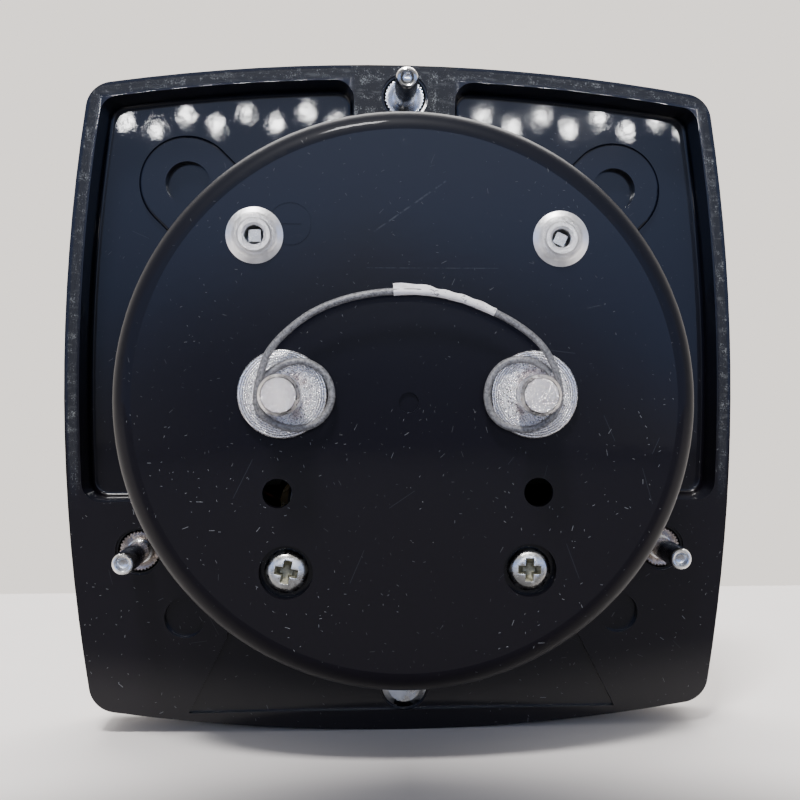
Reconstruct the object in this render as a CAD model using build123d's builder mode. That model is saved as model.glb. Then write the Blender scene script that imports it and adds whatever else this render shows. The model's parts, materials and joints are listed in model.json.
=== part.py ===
"""Panel galvanometer: a bowed-square moulded case with a round barrel and a pivoted-coil movement.

Frame: the origin is on the barrel's axis, in the plane of the flange's rear rim that rests against
the panel. +Y runs along the barrel to the terminals, -Y towards the dial, and +Z is up.
Lengths are in millimetres. A flat piece is drawn on its rear face and extruded towards the dial.
"""

import math
import os

from build123d import *

os.makedirs("parts", exist_ok=True)

# Moulded case: flange and barrel
CASE_HALF = 44.45
BOW_RADIUS = 247.0
CASE_CORNER = 3.7
FLANGE_DEPTH = 9.0
RIM_WIDTH = 1.9
POCKET_DEPTH = 7.0
POCKET_DRAFT = 3.0
POCKET_CORNER = 2.5
FOOT_FILLET = 0.5
RIB_HALF_WIDTH = 6.7
LEDGE_Z = -13.6
BARREL_RADIUS = 34.925
BARREL_FOOT_RADIUS = 35.35
BARREL_FOOT_Y = 0.6
BARREL_DEPTH = 25.4
BARREL_WALL = 2.3
BARREL_FILLET = 2.4
REAR_WALL = 2.5
LAND_THICKNESS = 2.5
LUG_SPOT_RADIUS = 41.0
LUG_RADIUS = 6.5
LUG_HEIGHT = 1.0
LUG_ROOT = 0.5
LUG_NECK_RADIUS = 36.9
LUG_NECK_LENGTH = 8.2
LUG_FILLET = 0.4
LUG_RECESS_RADIUS = 3.0
LUG_RECESS_DEPTH = 2.2
BLIND_SPOT_RADIUS = 2.7
BLIND_SPOT_DEPTH = 1.5
FOOT_POCKET_DEPTH = 1.0
FOOT_POCKET_BOTTOM_Z = -41.75
FOOT_POCKET_WIDTHS = (28.5, 23.5)
BOSS_RADIUS = 4.2
INNER_FACE_Y = BARREL_DEPTH - REAR_WALL
BORE_RADIUS = BARREL_RADIUS - BARREL_WALL

# Rear face features, as (x, z) of the one on the right seen from the front
TERMINAL_SPOT = (14.92, 1.0)
RIVET_SPOT = (18.15, 19.68)
OPEN_HOLE_SPOT = (15.57, -10.8)
MOVEMENT_SCREW_SPOT = (14.57, -20.24)
DIAL_POST_SPOT = (25.5, -2.0)
OPEN_HOLE_RADIUS = 1.75
DIMPLE_RADIUS = 1.2
DIMPLE_DEPTH = 0.4
POLARITY_SPOT = (13.97, 21.0)
POLARITY_RADIUS = 2.6
POLARITY_LINE = 0.22
POLARITY_DEPTH = 0.12

# Clearances and edges that many pieces share
RUNNING_CLEARANCE = 0.05
SCREW_CLEARANCE = 0.05
FITTING_GAP = 0.1
EDGE_BREAK = 0.3

# Studs that hold the case to a panel
STUD_CIRCLE_RADIUS = 40.3
STUD_ANGLES = (90, 210, 330)
STUD_RADIUS = 1.42
STUD_LENGTH = 15.4
STUD_TIP_TAPER = 0.35
STUD_TIP_LENGTH = 0.4
STUD_RECESS_RADIUS = 3.1
COLLAR_RADIUS = 2.8
COLLAR_TOP_Y = -0.6
COLLAR_DEPTH = 5.4

# Screw that holds the front cover, at the foot of the flange
COVER_SCREW_Z = -38.6
COVER_SCREW_HEAD_RADIUS = 3.0
COVER_SCREW_HEAD_HEIGHT = 1.2
COVER_SCREW_HEAD_TAPER = 0.8
COVER_SCREW_HEAD_EDGE = 0.7
COVER_SCREW_SEAT_Y = -1.7
COVER_SCREW_RADIUS = 1.4
COVER_SCREW_LENGTH = 11.0
COVER_SCREW_HEAD_GAP = 0.3
COVER_SCREW_HOLE_GAP = 0.2
COVER_SCREW_SEAT_WALL = 0.6
COVER_SCREW_BORE_FLOOR = 0.6

# Front cover, mask and window
COVER_DEPTH = 7.5
COVER_FACE = 2.5
COVER_INSET = 2.4
COVER_EDGE_ROUND = 2.2
COVER_BOSS_RADIUS = 3.2
WINDOW_HALF = 37.4
WINDOW_SILL_Z = 4.0
WINDOW_CORNER = 3.5
WINDOW_BEVEL = 0.8
WINDOW_MIDDLE_Z = 18.0
MASK_HALF = 39.6
MASK_THICKNESS = 0.8
MASK_MARGIN = 0.8
MASK_BEVEL = 0.25
GLASS_THICKNESS = 2.0
GLASS_OVERLAP = 2.5
COVER_FRONT_Y = -FLANGE_DEPTH - COVER_DEPTH
COVER_INSIDE_Y = COVER_FRONT_Y + COVER_FACE

# Dial, its posts and screws
DIAL_THICKNESS = 0.6
DIAL_HALF = 40.4
DIAL_BOTTOM_Z = -12.0
DIAL_CUTOUT = 17.0
DIAL_POST_RADIUS = 3.0
DIAL_POST_BORE = 6.0
DIAL_SCREW_LENGTH = 5.0
DIAL_HEAD_HEIGHT = 0.8
DIAL_FACE_Y = -FLANGE_DEPTH - DIAL_THICKNESS

# Movement: the coil turns about a line along Y through (0, PIVOT_Z)
PIVOT_Z = -14.0
YOKE_RADIUS = 15.0
YOKE_BORE = 11.6
YOKE_LENGTH = 12.0
YOKE_TAP_DEPTH = 4.0
YOKE_SCREW_REACH = 3.0
CORE_RADIUS = 9.5
SPACER_HALF_ANGLE = 18
SPACER_INSET = 0.4
COIL_REACH = 9.9
COIL_FORMER_THICKNESS = 0.25
COIL_WINDING_THICKNESS = 0.85
COIL_FORMER_WIDTH = 3.6
COIL_WINDING_WIDTH = 3.0
COIL_END_GAP = 1.0
COIL_FRONT_Y = -COIL_END_GAP - COIL_FORMER_THICKNESS - COIL_WINDING_THICKNESS
COIL_REAR_Y = YOKE_LENGTH - COIL_FRONT_Y
PILLAR_CIRCLE = 13.3
PILLAR_RADIUS = 1.5
PILLAR_ANGLES = (90, 232, 308)
PLATE_FRONT_Y = 15.8
PLATE_THICKNESS = 1.6
PLATE_HALF_OUTLINE = ((3.4, 1.4), (5.2, -15.24), (17.97, -17.24), (17.97, -23.44), (10.5, -26.8))
PLATE_CORNER = 1.0
BRIDGE_REAR_Y = -5.6
BRIDGE_THICKNESS = 1.2
BRIDGE_HALF_HEIGHT = 3.4
BRIDGE_SCREW_END_Y = 3.5
BRIDGE_FRONT_Y = BRIDGE_REAR_Y - BRIDGE_THICKNESS
BUSH_RADIUS = 1.85
BUSH_HEIGHT = 1.1
SMALL_SCREW_RADIUS = 0.95
SMALL_HEAD_RADIUS = 1.6
SMALL_HEAD_HEIGHT = 1.0

# Pivots and the jewels that carry them
BASE_RADIUS = 1.6
BASE_HEIGHT = 0.4
PIVOT_RADIUS = 0.5
POINT_RADIUS = 0.04
POINT_LENGTH = 0.5
COLLET_RADIUS = 0.95
COLLET_LIP = 0.05
FRONT_TIP_Y = -5.4
REAR_TIP_Y = 16.1
JEWEL_RADIUS = 0.85
JEWEL_LIP = 0.2
JEWEL_DEPTH = 0.9
CUP_RADIUS = 0.6
CUP_TIP_RADIUS = 0.1
CUP_GAP = 0.06
FRONT_JEWEL_SCREW_RADIUS = 1.1
FRONT_JEWEL_SCREW_END_Y = -8.95
FRONT_JEWEL_SLOT_WIDTH = 0.4
FRONT_JEWEL_SLOT_DEPTH = 0.5
REAR_JEWEL_SCREW_RADIUS = 1.5
REAR_JEWEL_SCREW_END_Y = 19.6
REAR_JEWEL_SLOT_WIDTH = 0.5
REAR_JEWEL_SLOT_DEPTH = 0.7
FRONT_LOCK_NUT_THICKNESS = 0.85
FRONT_LOCK_NUT_WIDTH = 5.0
REAR_LOCK_NUT_THICKNESS = 1.2
REAR_LOCK_NUT_WIDTH = 5.6

# Hairsprings
SPRING_PITCH = 0.8
SPRING_HALF_TURNS = 9
SPRING_STRIP = 0.12
SPRING_WIDTH = 0.4
FRONT_SPRING_Y = -4.1
REAR_SPRING_Y = 15.1
SPRING_STUD_RADIUS = 0.6
SPRING_STUD_REAR_Y = 18.8
SPRING_STUD_FRONT_Y = 14.4
SPRING_STUD_REACH = COLLET_RADIUS + SPRING_STRIP + (SPRING_HALF_TURNS - 1) * SPRING_PITCH / 2

# Pointer, its stops and balance
POINTER_Y = -3.0
POINTER_THICKNESS = 0.35
POINTER_FRONT_Y = -11.35
POINTER_CRANK = (12.2, 15.8)
POINTER_ROOT = 0.8
POINTER_LENGTH = 38.0
POINTER_SWING = 45
POINTER_HALF_WIDTH = 0.4
POINTER_HUB_RADIUS = 1.5
TIP_HALF_WIDTH = 0.12
TAIL_LENGTH = 9.6
SIDE_ARM_LENGTH = 7.6
ARM_WIDTH = 0.9
BALANCE_RADIUS = 0.95
BALANCE_BORE = 0.504
TAIL_WEIGHT_PLACE = 5.4
TAIL_WEIGHT_LENGTH = 3.4
SIDE_WEIGHT_PLACE = 5.2
SIDE_WEIGHT_LENGTH = 1.6
STOP_CIRCLE = 28.0
STOP_RADIUS = 0.5
STOP_HEIGHT = 2.2
STOP_FOOT_HEIGHT = 0.4

# Zero adjuster: a pin set off-centre on the screw moves a forked arm about the pivot line
CRANK_THROW = 1.2
CRANK_PIN_RADIUS = 0.8
CRANK_PIN_OVERHANG = 0.5
ZERO_SHAFT_RADIUS = 2.25
ZERO_SHAFT_END_Y = -12.2
ZERO_HEAD_RADIUS = 3.2
ZERO_HEAD_HEIGHT = 1.6
ZERO_HEAD_BEVEL = 0.4
ZERO_HEAD_GAP = 0.2
ZERO_SLOT_DEPTH = 0.8
ZERO_SLOT_WIDTH = 0.8
ZERO_CLIP_REAR_Y = -13.1
ZERO_CLIP_THICKNESS = 0.8
ZERO_CLIP_RIM = 1.0
ARM_REAR_Y = -6.9
ARM_THICKNESS = 0.8
ARM_HUB_RADIUS = 3.6
ARM_BAR_WIDTH = 2.4
ARM_BAR_LENGTH = 10.0
FORK_REACH = 14.0
FORK_CLEARANCE = 0.15
FORK_WALL = 1.3
FORK_HEIGHT = 5.0
FORK_SLOT_HEIGHT = 4.0
FORK_SLOT_DROP = 1.0
SPRING_TAB_WIDTH = 1.2
SPRING_TAB_THICKNESS = 0.5
ZERO_SCREW_Z = PIVOT_Z - FORK_REACH - CRANK_THROW

# Screws that hold the movement to the rear wall
COUNTERBORE_RADIUS = 3.2
COUNTERBORE_DEPTH = 2.4
MOVEMENT_SCREW_RADIUS = 1.42
MOVEMENT_SCREW_HOLE_GAP = 0.15
MOVEMENT_SCREW_RUNOUT = 0.8
PAN_HEAD_RADIUS = 2.6
PAN_HEAD_HEIGHT = 1.9
PAN_HEAD_EDGE = 1.0
PAN_HEAD_TAPER = 0.7
CROSS_LENGTH = 2.9
CROSS_WIDTH = 0.75
CROSS_DEPTH = 1.1

# Terminals
POST_RADIUS = 2.4
POST_SHANK_RADIUS = 2.2
POST_SHOULDER_Y = 28.9
POST_END_Y = 35.4
POST_TIP_LENGTH = 0.7
POST_TIP_TAPER = 0.45
POST_INNER_Y = 17.0
DISC_RADIUS = 5.25
DISC_THICKNESS = 1.2
DISC_BEVEL = 0.2
DISC_FACE_Y = BARREL_DEPTH + DISC_THICKNESS
WASHER_RADIUS = 4.8
WASHER_THICKNESS = 0.8
SOLDER_RING_RADIUS = 4.2
SOLDER_TAIL_REACH = 5.2
SOLDER_TAIL_LENGTH = 5.6
SOLDER_TAIL_WIDTH = 2.4
SOLDER_LUG_THICKNESS = 0.5
SOLDER_LUG_REAR_Y = INNER_FACE_Y - WASHER_THICKNESS
NUT_ACROSS_FLATS = 9.5
NUT_THICKNESS = 3.0

# Tag board, its two tubular rivets and the series resistor
BOARD_THICKNESS = 1.6
BOARD_Z = 19.2
BOARD_WIDTH = 43.2
BOARD_HEIGHT = 8.4
BOARD_BEVEL = 1.6
BOARD_FRONT_Y = INNER_FACE_Y - BOARD_THICKNESS
BOARD_TAG_SPOT = (9.0, 17.6)
BOARD_TAG_RADIUS = 0.7
BOARD_TAG_LENGTH = 1.6
BOARD_TAG_RIM = 0.5
BOARD_TAG_RIM_HEIGHT = 0.4
RIVET_BORE = 1.15
RIVET_SHANK_RADIUS = 1.6
RIVET_TAIL_RADIUS = 2.6
RIVET_TAIL_HEIGHT = 0.6
RIVET_FLANGE_RADIUS = 3.35
RIVET_FLANGE_EDGE = 0.2
RIVET_CONE_HEIGHT = 0.95
RIVET_RING_RADIUS = 2.1
RIVET_RING_HEIGHT = 1.5
RIVET_RING_TAPER = 0.25
RIVET_LIP = 0.3
PEG_SIZE = 1.4
PEG_END_Y = 25.0
PEG_BASE_RADIUS = 2.2
PEG_BASE_DEPTH = 2.2
PEG_TILTS = (0, 25)
RESISTOR_DROP = 3.0
RESISTOR_RADIUS = 1.6
RESISTOR_HALF_LENGTH = 4.6
RESISTOR_ROUND = 0.5
RESISTOR_WIRE_RADIUS = 0.35

# Leads, the shorting wire and its paper tag
LEAD_DIAMETER = 0.9
WIRE_DIAMETER = 0.85
TAG_DIAMETER = 1.1
TAG_PAPER = 0.13
TAG_FIRST_RUN = 14
TAG_LAST_RUN = 17
TAG_FLAG_OUTLINE = ((2.35, 12.30), (2.35, 14.10), (0.20, 14.02), (-1.75, 13.70), (-1.75, 13.0), (0.3, 13.0))


def across(y):
    """The plane across the barrel's axis at depth y, with X to the right and Z up."""
    return Plane.XZ.offset(-y)


def lengthwise(x=0.0, z=0.0):
    """The plane that holds the line along Y through (x, z), with radius across and Y upwards."""
    return Plane(origin=(x, 0, z), x_dir=(1, 0, 0), z_dir=(0, 0, 1))


def turn(profile, x=0.0, z=0.0, mode=Mode.ADD):
    """Turn a closed profile of (radius, y) points about the line along Y through (x, z)."""
    with BuildSketch(lengthwise(x, z)) as half_section:
        with BuildLine():
            Polyline(*profile, close=True)
        make_face()
    revolve(half_section.sketch, axis=Axis((x, 0, z), (0, 1, 0)), mode=mode)


def rod(radius, y_rear, y_front, x=0.0, z=0.0, mode=Mode.ADD):
    """A plain round bar along Y."""
    with BuildSketch(across(y_rear)) as section:
        with Locations((x, z)):
            Circle(radius)
    extrude(section.sketch, amount=y_rear - y_front, mode=mode)


def both_sides(spot):
    """A spot and its mirror image left of the axis."""
    return [spot, (-spot[0], spot[1])]


def on_circle(radius, angle, centre_z=0.0):
    """The (x, z) point at an angle on a circle about the line through (0, centre_z)."""
    bearing = math.radians(angle)
    return (radius * math.cos(bearing), centre_z + radius * math.sin(bearing))


def bowed_square(half, corner):
    """A square with outward-bowed sides; half is measured to the middle of a side."""
    bow = BOW_RADIUS - (CASE_HALF - half)
    reach = (math.sqrt(2 * bow**2 - (bow - half) ** 2) - (bow - half)) / 2
    with BuildSketch() as outline:
        with BuildLine():
            for quarter in range(4):
                side = [(reach, -reach), (half, 0), (reach, reach)]
                ThreePointArc(*[Vector(*point).rotate(Axis.Z, 90 * quarter) for point in side])
        make_face()
        fillet(outline.vertices(), corner)
    return outline.sketch


def below(z):
    """A wide rectangle whose top edge is at height z."""
    size = 4 * CASE_HALF
    with BuildSketch() as region:
        with Locations((0, z - size / 2)):
            Rectangle(size, size)
    return region.sketch


def bend_radii(points):
    """The largest arc radius that leaves some straight on both sides of each inner point."""
    runs = [Vector(*end) - Vector(*start) for start, end in zip(points, points[1:])]
    return [0.45 * min(run.length, next_run.length) / math.tan(math.radians(run.get_angle(next_run)) / 2)
            for run, next_run in zip(runs, runs[1:])]


def swept_tube(points, radii, diameter):
    """Sweep a round section along straight runs joined by tangent arcs."""
    with BuildLine() as route:
        FilletPolyline(*points, radius=radii)
    path = route.wire()
    with BuildSketch(Plane(path @ 0, z_dir=path % 0)) as section:
        Circle(diameter / 2)
    sweep(section.sketch, path=path)
    print(f"route {path.length:.1f} mm, sharpest bend {min(radii):.2f} mm,",
          f"section times length {math.pi * diameter**2 / 4 * path.length:.2f} mm3")


def save(part, name):
    """Label a finished piece and write it as parts/name.step."""
    part.label = name
    export_step(part, f"parts/{name}.step")


# Case: flange, barrel, rear pockets, lugs and inner bosses
with BuildPart() as case_moulding:
    with BuildSketch(across(0)):
        add(bowed_square(CASE_HALF, CASE_CORNER))
    extrude(amount=FLANGE_DEPTH)
    rod(BARREL_RADIUS, BARREL_DEPTH, -FLANGE_DEPTH)
    rod(BARREL_FOOT_RADIUS, BARREL_FOOT_Y, -FLANGE_DEPTH)
    fillet(case_moulding.edges().filter_by(GeomType.CIRCLE).group_by(Axis.Y)[-1], BARREL_FILLET)

    with BuildSketch(across(0)) as upper_pockets:
        add(bowed_square(CASE_HALF - RIM_WIDTH, POCKET_CORNER))
        Circle(BARREL_FOOT_RADIUS, mode=Mode.SUBTRACT)
        add(below(LEDGE_Z), mode=Mode.SUBTRACT)
        with Locations((0, CASE_HALF)):
            Rectangle(2 * RIB_HALF_WIDTH, CASE_HALF, mode=Mode.SUBTRACT)
        rib_ends = upper_pockets.vertices().group_by(Axis.Y)[-1]
        fillet(rib_ends, POCKET_CORNER)
        ledge_ends = upper_pockets.vertices().group_by(Axis.Y)[0].group_by(SortBy.DISTANCE)[-1]
        fillet(ledge_ends, POCKET_CORNER)
    extrude(amount=POCKET_DEPTH, taper=POCKET_DRAFT, mode=Mode.SUBTRACT)
    floor_edges = case_moulding.edges().filter_by_position(Axis.Y, -POCKET_DEPTH, -POCKET_DEPTH)
    wall_feet = floor_edges.filter_by(
        lambda edge: edge.geom_type != GeomType.CIRCLE or edge.radius < BARREL_RADIUS - 1)
    fillet(wall_feet, FOOT_FILLET)

    for angle in (45, 135):
        lug_x, lug_z = on_circle(LUG_SPOT_RADIUS, angle)
        with BuildSketch(across(LUG_HEIGHT - POCKET_DEPTH)):
            with Locations((lug_x, lug_z)):
                Circle(LUG_RADIUS)
            with Locations(Location(on_circle(LUG_NECK_RADIUS, angle), angle)):
                Rectangle(LUG_NECK_LENGTH, 2 * LUG_RADIUS)
        extrude(amount=LUG_HEIGHT + LUG_ROOT)
        lug_top = case_moulding.edges().filter_by_position(
            Axis.Y, LUG_HEIGHT - POCKET_DEPTH, LUG_HEIGHT - POCKET_DEPTH)
        fillet(lug_top.filter_by(lambda edge: edge.center().X * lug_x > 0), LUG_FILLET)
        rod(LUG_RECESS_RADIUS, LUG_HEIGHT - POCKET_DEPTH, LUG_HEIGHT - POCKET_DEPTH - LUG_RECESS_DEPTH,
            lug_x, lug_z, Mode.SUBTRACT)
    for angle in (225, 315):
        spot = on_circle(LUG_SPOT_RADIUS, angle)
        rod(BLIND_SPOT_RADIUS, 0, -BLIND_SPOT_DEPTH, *spot, Mode.SUBTRACT)

    with BuildSketch(across(0)):
        with BuildLine():
            wide, narrow = FOOT_POCKET_WIDTHS
            Polyline(
                (-wide, FOOT_POCKET_BOTTOM_Z), (wide, FOOT_POCKET_BOTTOM_Z),
                (narrow, FOOT_POCKET_BOTTOM_Z + 2 * (wide - narrow)), (narrow, 0), (-narrow, 0),
                (-narrow, FOOT_POCKET_BOTTOM_Z + 2 * (wide - narrow)), close=True,
            )
        make_face()
        Circle(BARREL_FOOT_RADIUS, mode=Mode.SUBTRACT)
    extrude(amount=FOOT_POCKET_DEPTH, mode=Mode.SUBTRACT)

    # front side: barrel bore, and the space behind the land at the foot
    rod(BORE_RADIUS, INNER_FACE_Y, -FLANGE_DEPTH, mode=Mode.SUBTRACT)
    with BuildSketch(across(-LAND_THICKNESS)):
        add(bowed_square(CASE_HALF - COVER_INSET, POCKET_CORNER))
        add(below(LEDGE_Z - LAND_THICKNESS), mode=Mode.INTERSECT)
        Circle(BARREL_RADIUS + BARREL_WALL, mode=Mode.SUBTRACT)
    extrude(amount=FLANGE_DEPTH - LAND_THICKNESS, mode=Mode.SUBTRACT)

    # stud seats
    for angle in STUD_ANGLES[1:]:
        rod(COLLAR_RADIUS + BARREL_WALL, 0, -FLANGE_DEPTH, *on_circle(STUD_CIRCLE_RADIUS, angle))
    for angle in STUD_ANGLES:
        spot = on_circle(STUD_CIRCLE_RADIUS, angle)
        rod(STUD_RECESS_RADIUS, 0, COLLAR_TOP_Y, *spot, Mode.SUBTRACT)
        rod(COLLAR_RADIUS, 0, COLLAR_TOP_Y - COLLAR_DEPTH, *spot, Mode.SUBTRACT)

    # seat of the cover screw
    rod(COVER_SCREW_HEAD_RADIUS + COVER_SCREW_SEAT_WALL, -FOOT_POCKET_DEPTH, -FLANGE_DEPTH, 0, COVER_SCREW_Z)
    rod(COVER_SCREW_HEAD_RADIUS + COVER_SCREW_HEAD_GAP, 0, COVER_SCREW_SEAT_Y,
        0, COVER_SCREW_Z, Mode.SUBTRACT)
    rod(COVER_SCREW_RADIUS + COVER_SCREW_HOLE_GAP, 0, -FLANGE_DEPTH, 0, COVER_SCREW_Z, Mode.SUBTRACT)

    # bosses for the movement, inside the barrel
    for spot in both_sides(MOVEMENT_SCREW_SPOT):
        rod(BOSS_RADIUS, INNER_FACE_Y, PLATE_FRONT_Y + PLATE_THICKNESS, *spot)

    # holes through the rear wall
    for spot in both_sides(MOVEMENT_SCREW_SPOT):
        rod(COUNTERBORE_RADIUS, BARREL_DEPTH, BARREL_DEPTH - COUNTERBORE_DEPTH, *spot, Mode.SUBTRACT)
        rod(MOVEMENT_SCREW_RADIUS + MOVEMENT_SCREW_HOLE_GAP, BARREL_DEPTH, PLATE_FRONT_Y,
            *spot, Mode.SUBTRACT)
    for spot in both_sides(TERMINAL_SPOT):
        rod(POST_SHANK_RADIUS + FITTING_GAP, BARREL_DEPTH, INNER_FACE_Y, *spot, Mode.SUBTRACT)
    for spot in both_sides(RIVET_SPOT):
        rod(RIVET_SHANK_RADIUS, BARREL_DEPTH, INNER_FACE_Y, *spot, Mode.SUBTRACT)
    for spot in both_sides(OPEN_HOLE_SPOT):
        rod(OPEN_HOLE_RADIUS, BARREL_DEPTH, INNER_FACE_Y, *spot, Mode.SUBTRACT)

    # moulding gate dimple and the ringed minus sign that marks one terminal
    rod(DIMPLE_RADIUS, BARREL_DEPTH, BARREL_DEPTH - DIMPLE_DEPTH, mode=Mode.SUBTRACT)
    with BuildSketch(across(BARREL_DEPTH)):
        with Locations(POLARITY_SPOT):
            Circle(POLARITY_RADIUS)
            Circle(POLARITY_RADIUS - POLARITY_LINE, mode=Mode.SUBTRACT)
            Rectangle(POLARITY_RADIUS, POLARITY_LINE)
    extrude(amount=POLARITY_DEPTH, mode=Mode.SUBTRACT)

# The one moulding, as two pieces that meet at the top of the barrel's foot
with BuildPart() as case_flange:
    add(case_moulding.part)
    split(bisect_by=across(BARREL_FOOT_Y), keep=Keep.TOP)
save(case_flange.part, "case_flange")

with BuildPart() as case_barrel:
    add(case_moulding.part)
    split(bisect_by=across(BARREL_FOOT_Y), keep=Keep.BOTTOM)
    # posts for the dial, which stand on the rear wall
    for spot in both_sides(DIAL_POST_SPOT):
        rod(DIAL_POST_RADIUS, INNER_FACE_Y, -FLANGE_DEPTH, *spot)
        rod(SMALL_SCREW_RADIUS + SCREW_CLEARANCE, DIAL_POST_BORE - FLANGE_DEPTH, -FLANGE_DEPTH,
            *spot, Mode.SUBTRACT)
save(case_barrel.part, "case_barrel")

# Front cover: a bowed frame with the window above and a seat for the mask below
with BuildPart() as front_cover:
    with BuildSketch(across(-FLANGE_DEPTH)):
        add(bowed_square(CASE_HALF, CASE_CORNER))
    extrude(amount=COVER_DEPTH)
    fillet(front_cover.faces().sort_by(Axis.Y)[0].edges(), COVER_EDGE_ROUND)
    with BuildSketch(across(-FLANGE_DEPTH)):
        add(bowed_square(CASE_HALF - COVER_INSET, POCKET_CORNER))
    extrude(amount=COVER_DEPTH - COVER_FACE, mode=Mode.SUBTRACT)
    with BuildSketch(across(COVER_INSIDE_Y)) as opening:
        add(bowed_square(WINDOW_HALF, WINDOW_CORNER))
        add(below(WINDOW_SILL_Z), mode=Mode.SUBTRACT)
        fillet(opening.vertices().group_by(Axis.Y)[0], WINDOW_CORNER)
    extrude(amount=COVER_FACE, mode=Mode.SUBTRACT)
    window_middle = Vertex(0, COVER_FRONT_Y, WINDOW_MIDDLE_Z)
    front_edges = front_cover.edges().group_by(Axis.Y)[0].filter_by(lambda edge: edge.center().Z > 0)
    chamfer(front_edges.filter_by(lambda edge: edge.distance_to(window_middle) < WINDOW_HALF + FITTING_GAP),
            WINDOW_BEVEL)
    with BuildSketch(across(COVER_FRONT_Y + MASK_THICKNESS)):
        add(bowed_square(MASK_HALF, WINDOW_CORNER))
        add(below(WINDOW_SILL_Z - MASK_MARGIN), mode=Mode.INTERSECT)
    extrude(amount=MASK_THICKNESS, mode=Mode.SUBTRACT)
    rod(ZERO_SHAFT_RADIUS + RUNNING_CLEARANCE, COVER_INSIDE_Y, COVER_FRONT_Y, 0, ZERO_SCREW_Z, Mode.SUBTRACT)
    rod(COVER_BOSS_RADIUS, -FLANGE_DEPTH, COVER_INSIDE_Y, 0, COVER_SCREW_Z)
    rod(COVER_SCREW_RADIUS + SCREW_CLEARANCE, -FLANGE_DEPTH, COVER_INSIDE_Y + COVER_SCREW_BORE_FLOOR,
        0, COVER_SCREW_Z, Mode.SUBTRACT)
save(front_cover.part, "front_cover")

with BuildPart() as window_glass:
    with BuildSketch(across(COVER_INSIDE_Y + GLASS_THICKNESS)):
        add(bowed_square(CASE_HALF - COVER_INSET - FITTING_GAP, POCKET_CORNER))
        add(below(WINDOW_SILL_Z - GLASS_OVERLAP), mode=Mode.SUBTRACT)
    extrude(amount=GLASS_THICKNESS)
save(window_glass.part, "window_glass")

with BuildPart() as lower_mask:
    with BuildSketch(across(COVER_FRONT_Y + MASK_THICKNESS)):
        add(bowed_square(MASK_HALF - FITTING_GAP, WINDOW_CORNER))
        add(below(WINDOW_SILL_Z - MASK_MARGIN - FITTING_GAP), mode=Mode.INTERSECT)
        with Locations((0, ZERO_SCREW_Z)):
            Circle(ZERO_HEAD_RADIUS + ZERO_HEAD_GAP, mode=Mode.SUBTRACT)
    extrude(amount=MASK_THICKNESS)
    chamfer(lower_mask.faces().sort_by(Axis.Y)[0].outer_wire().edges(), MASK_BEVEL)
save(lower_mask.part, "lower_mask")

with BuildPart() as cover_screw:
    head_y = COVER_SCREW_SEAT_Y + COVER_SCREW_HEAD_HEIGHT
    point_y = COVER_SCREW_SEAT_Y - COVER_SCREW_LENGTH
    turn([(0, point_y), (COVER_SCREW_RADIUS, point_y), (COVER_SCREW_RADIUS, COVER_SCREW_SEAT_Y),
          (COVER_SCREW_HEAD_RADIUS, COVER_SCREW_SEAT_Y),
          (COVER_SCREW_HEAD_RADIUS, COVER_SCREW_SEAT_Y + COVER_SCREW_HEAD_EDGE),
          (COVER_SCREW_HEAD_RADIUS - COVER_SCREW_HEAD_TAPER, head_y), (0, head_y)],
         0, COVER_SCREW_Z)
save(cover_screw.part, "cover_screw")

# Dial plate and what stands on it
with BuildPart() as dial_plate:
    with BuildSketch(across(-FLANGE_DEPTH)):
        add(bowed_square(DIAL_HALF, WINDOW_CORNER))
        add(below(DIAL_BOTTOM_Z), mode=Mode.SUBTRACT)
        with Locations((0, PIVOT_Z)):
            Circle(DIAL_CUTOUT, mode=Mode.SUBTRACT)
        with Locations(*both_sides(DIAL_POST_SPOT)):
            Circle(SMALL_SCREW_RADIUS + SCREW_CLEARANCE, mode=Mode.SUBTRACT)
    extrude(amount=DIAL_THICKNESS)
save(dial_plate.part, "dial_plate")

with BuildPart() as dial_screws:
    for spot in both_sides(DIAL_POST_SPOT):
        rod(SMALL_HEAD_RADIUS, DIAL_FACE_Y, DIAL_FACE_Y - DIAL_HEAD_HEIGHT, *spot)
        rod(SMALL_SCREW_RADIUS, DIAL_FACE_Y + DIAL_SCREW_LENGTH, DIAL_FACE_Y, *spot)
save(dial_screws.part, "dial_screws")

stop_offset = STOP_RADIUS + POINTER_HALF_WIDTH + FITTING_GAP
stop_angle = POINTER_SWING + math.degrees(math.asin(stop_offset / STOP_CIRCLE))
with BuildPart() as pointer_stops:
    for angle in (90 - stop_angle, 90 + stop_angle):
        spot = on_circle(STOP_CIRCLE, angle, PIVOT_Z)
        rod(2 * STOP_RADIUS, DIAL_FACE_Y, DIAL_FACE_Y - STOP_FOOT_HEIGHT, *spot)
        rod(STOP_RADIUS, DIAL_FACE_Y, DIAL_FACE_Y - STOP_HEIGHT, *spot)
save(pointer_stops.part, "pointer_stops")

# Movement frame: yoke ring, core magnet held by two spacers, rear plate and front bridge
with BuildPart() as yoke_ring:
    rod(YOKE_RADIUS, YOKE_LENGTH, 0, 0, PIVOT_Z)
    rod(YOKE_BORE, YOKE_LENGTH, 0, 0, PIVOT_Z, Mode.SUBTRACT)
    for angle in PILLAR_ANGLES:
        spot = on_circle(PILLAR_CIRCLE, angle, PIVOT_Z)
        rod(SMALL_SCREW_RADIUS + SCREW_CLEARANCE, YOKE_LENGTH, YOKE_LENGTH - YOKE_TAP_DEPTH,
            *spot, Mode.SUBTRACT)
    for x in (PILLAR_CIRCLE, -PILLAR_CIRCLE):
        rod(SMALL_SCREW_RADIUS + SCREW_CLEARANCE, YOKE_TAP_DEPTH, 0, x, PIVOT_Z, Mode.SUBTRACT)
    yoke_circles = yoke_ring.edges().filter_by(GeomType.CIRCLE)
    chamfer(yoke_circles.filter_by(lambda edge: edge.radius > CORE_RADIUS), EDGE_BREAK)
save(yoke_ring.part, "yoke_ring")

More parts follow.
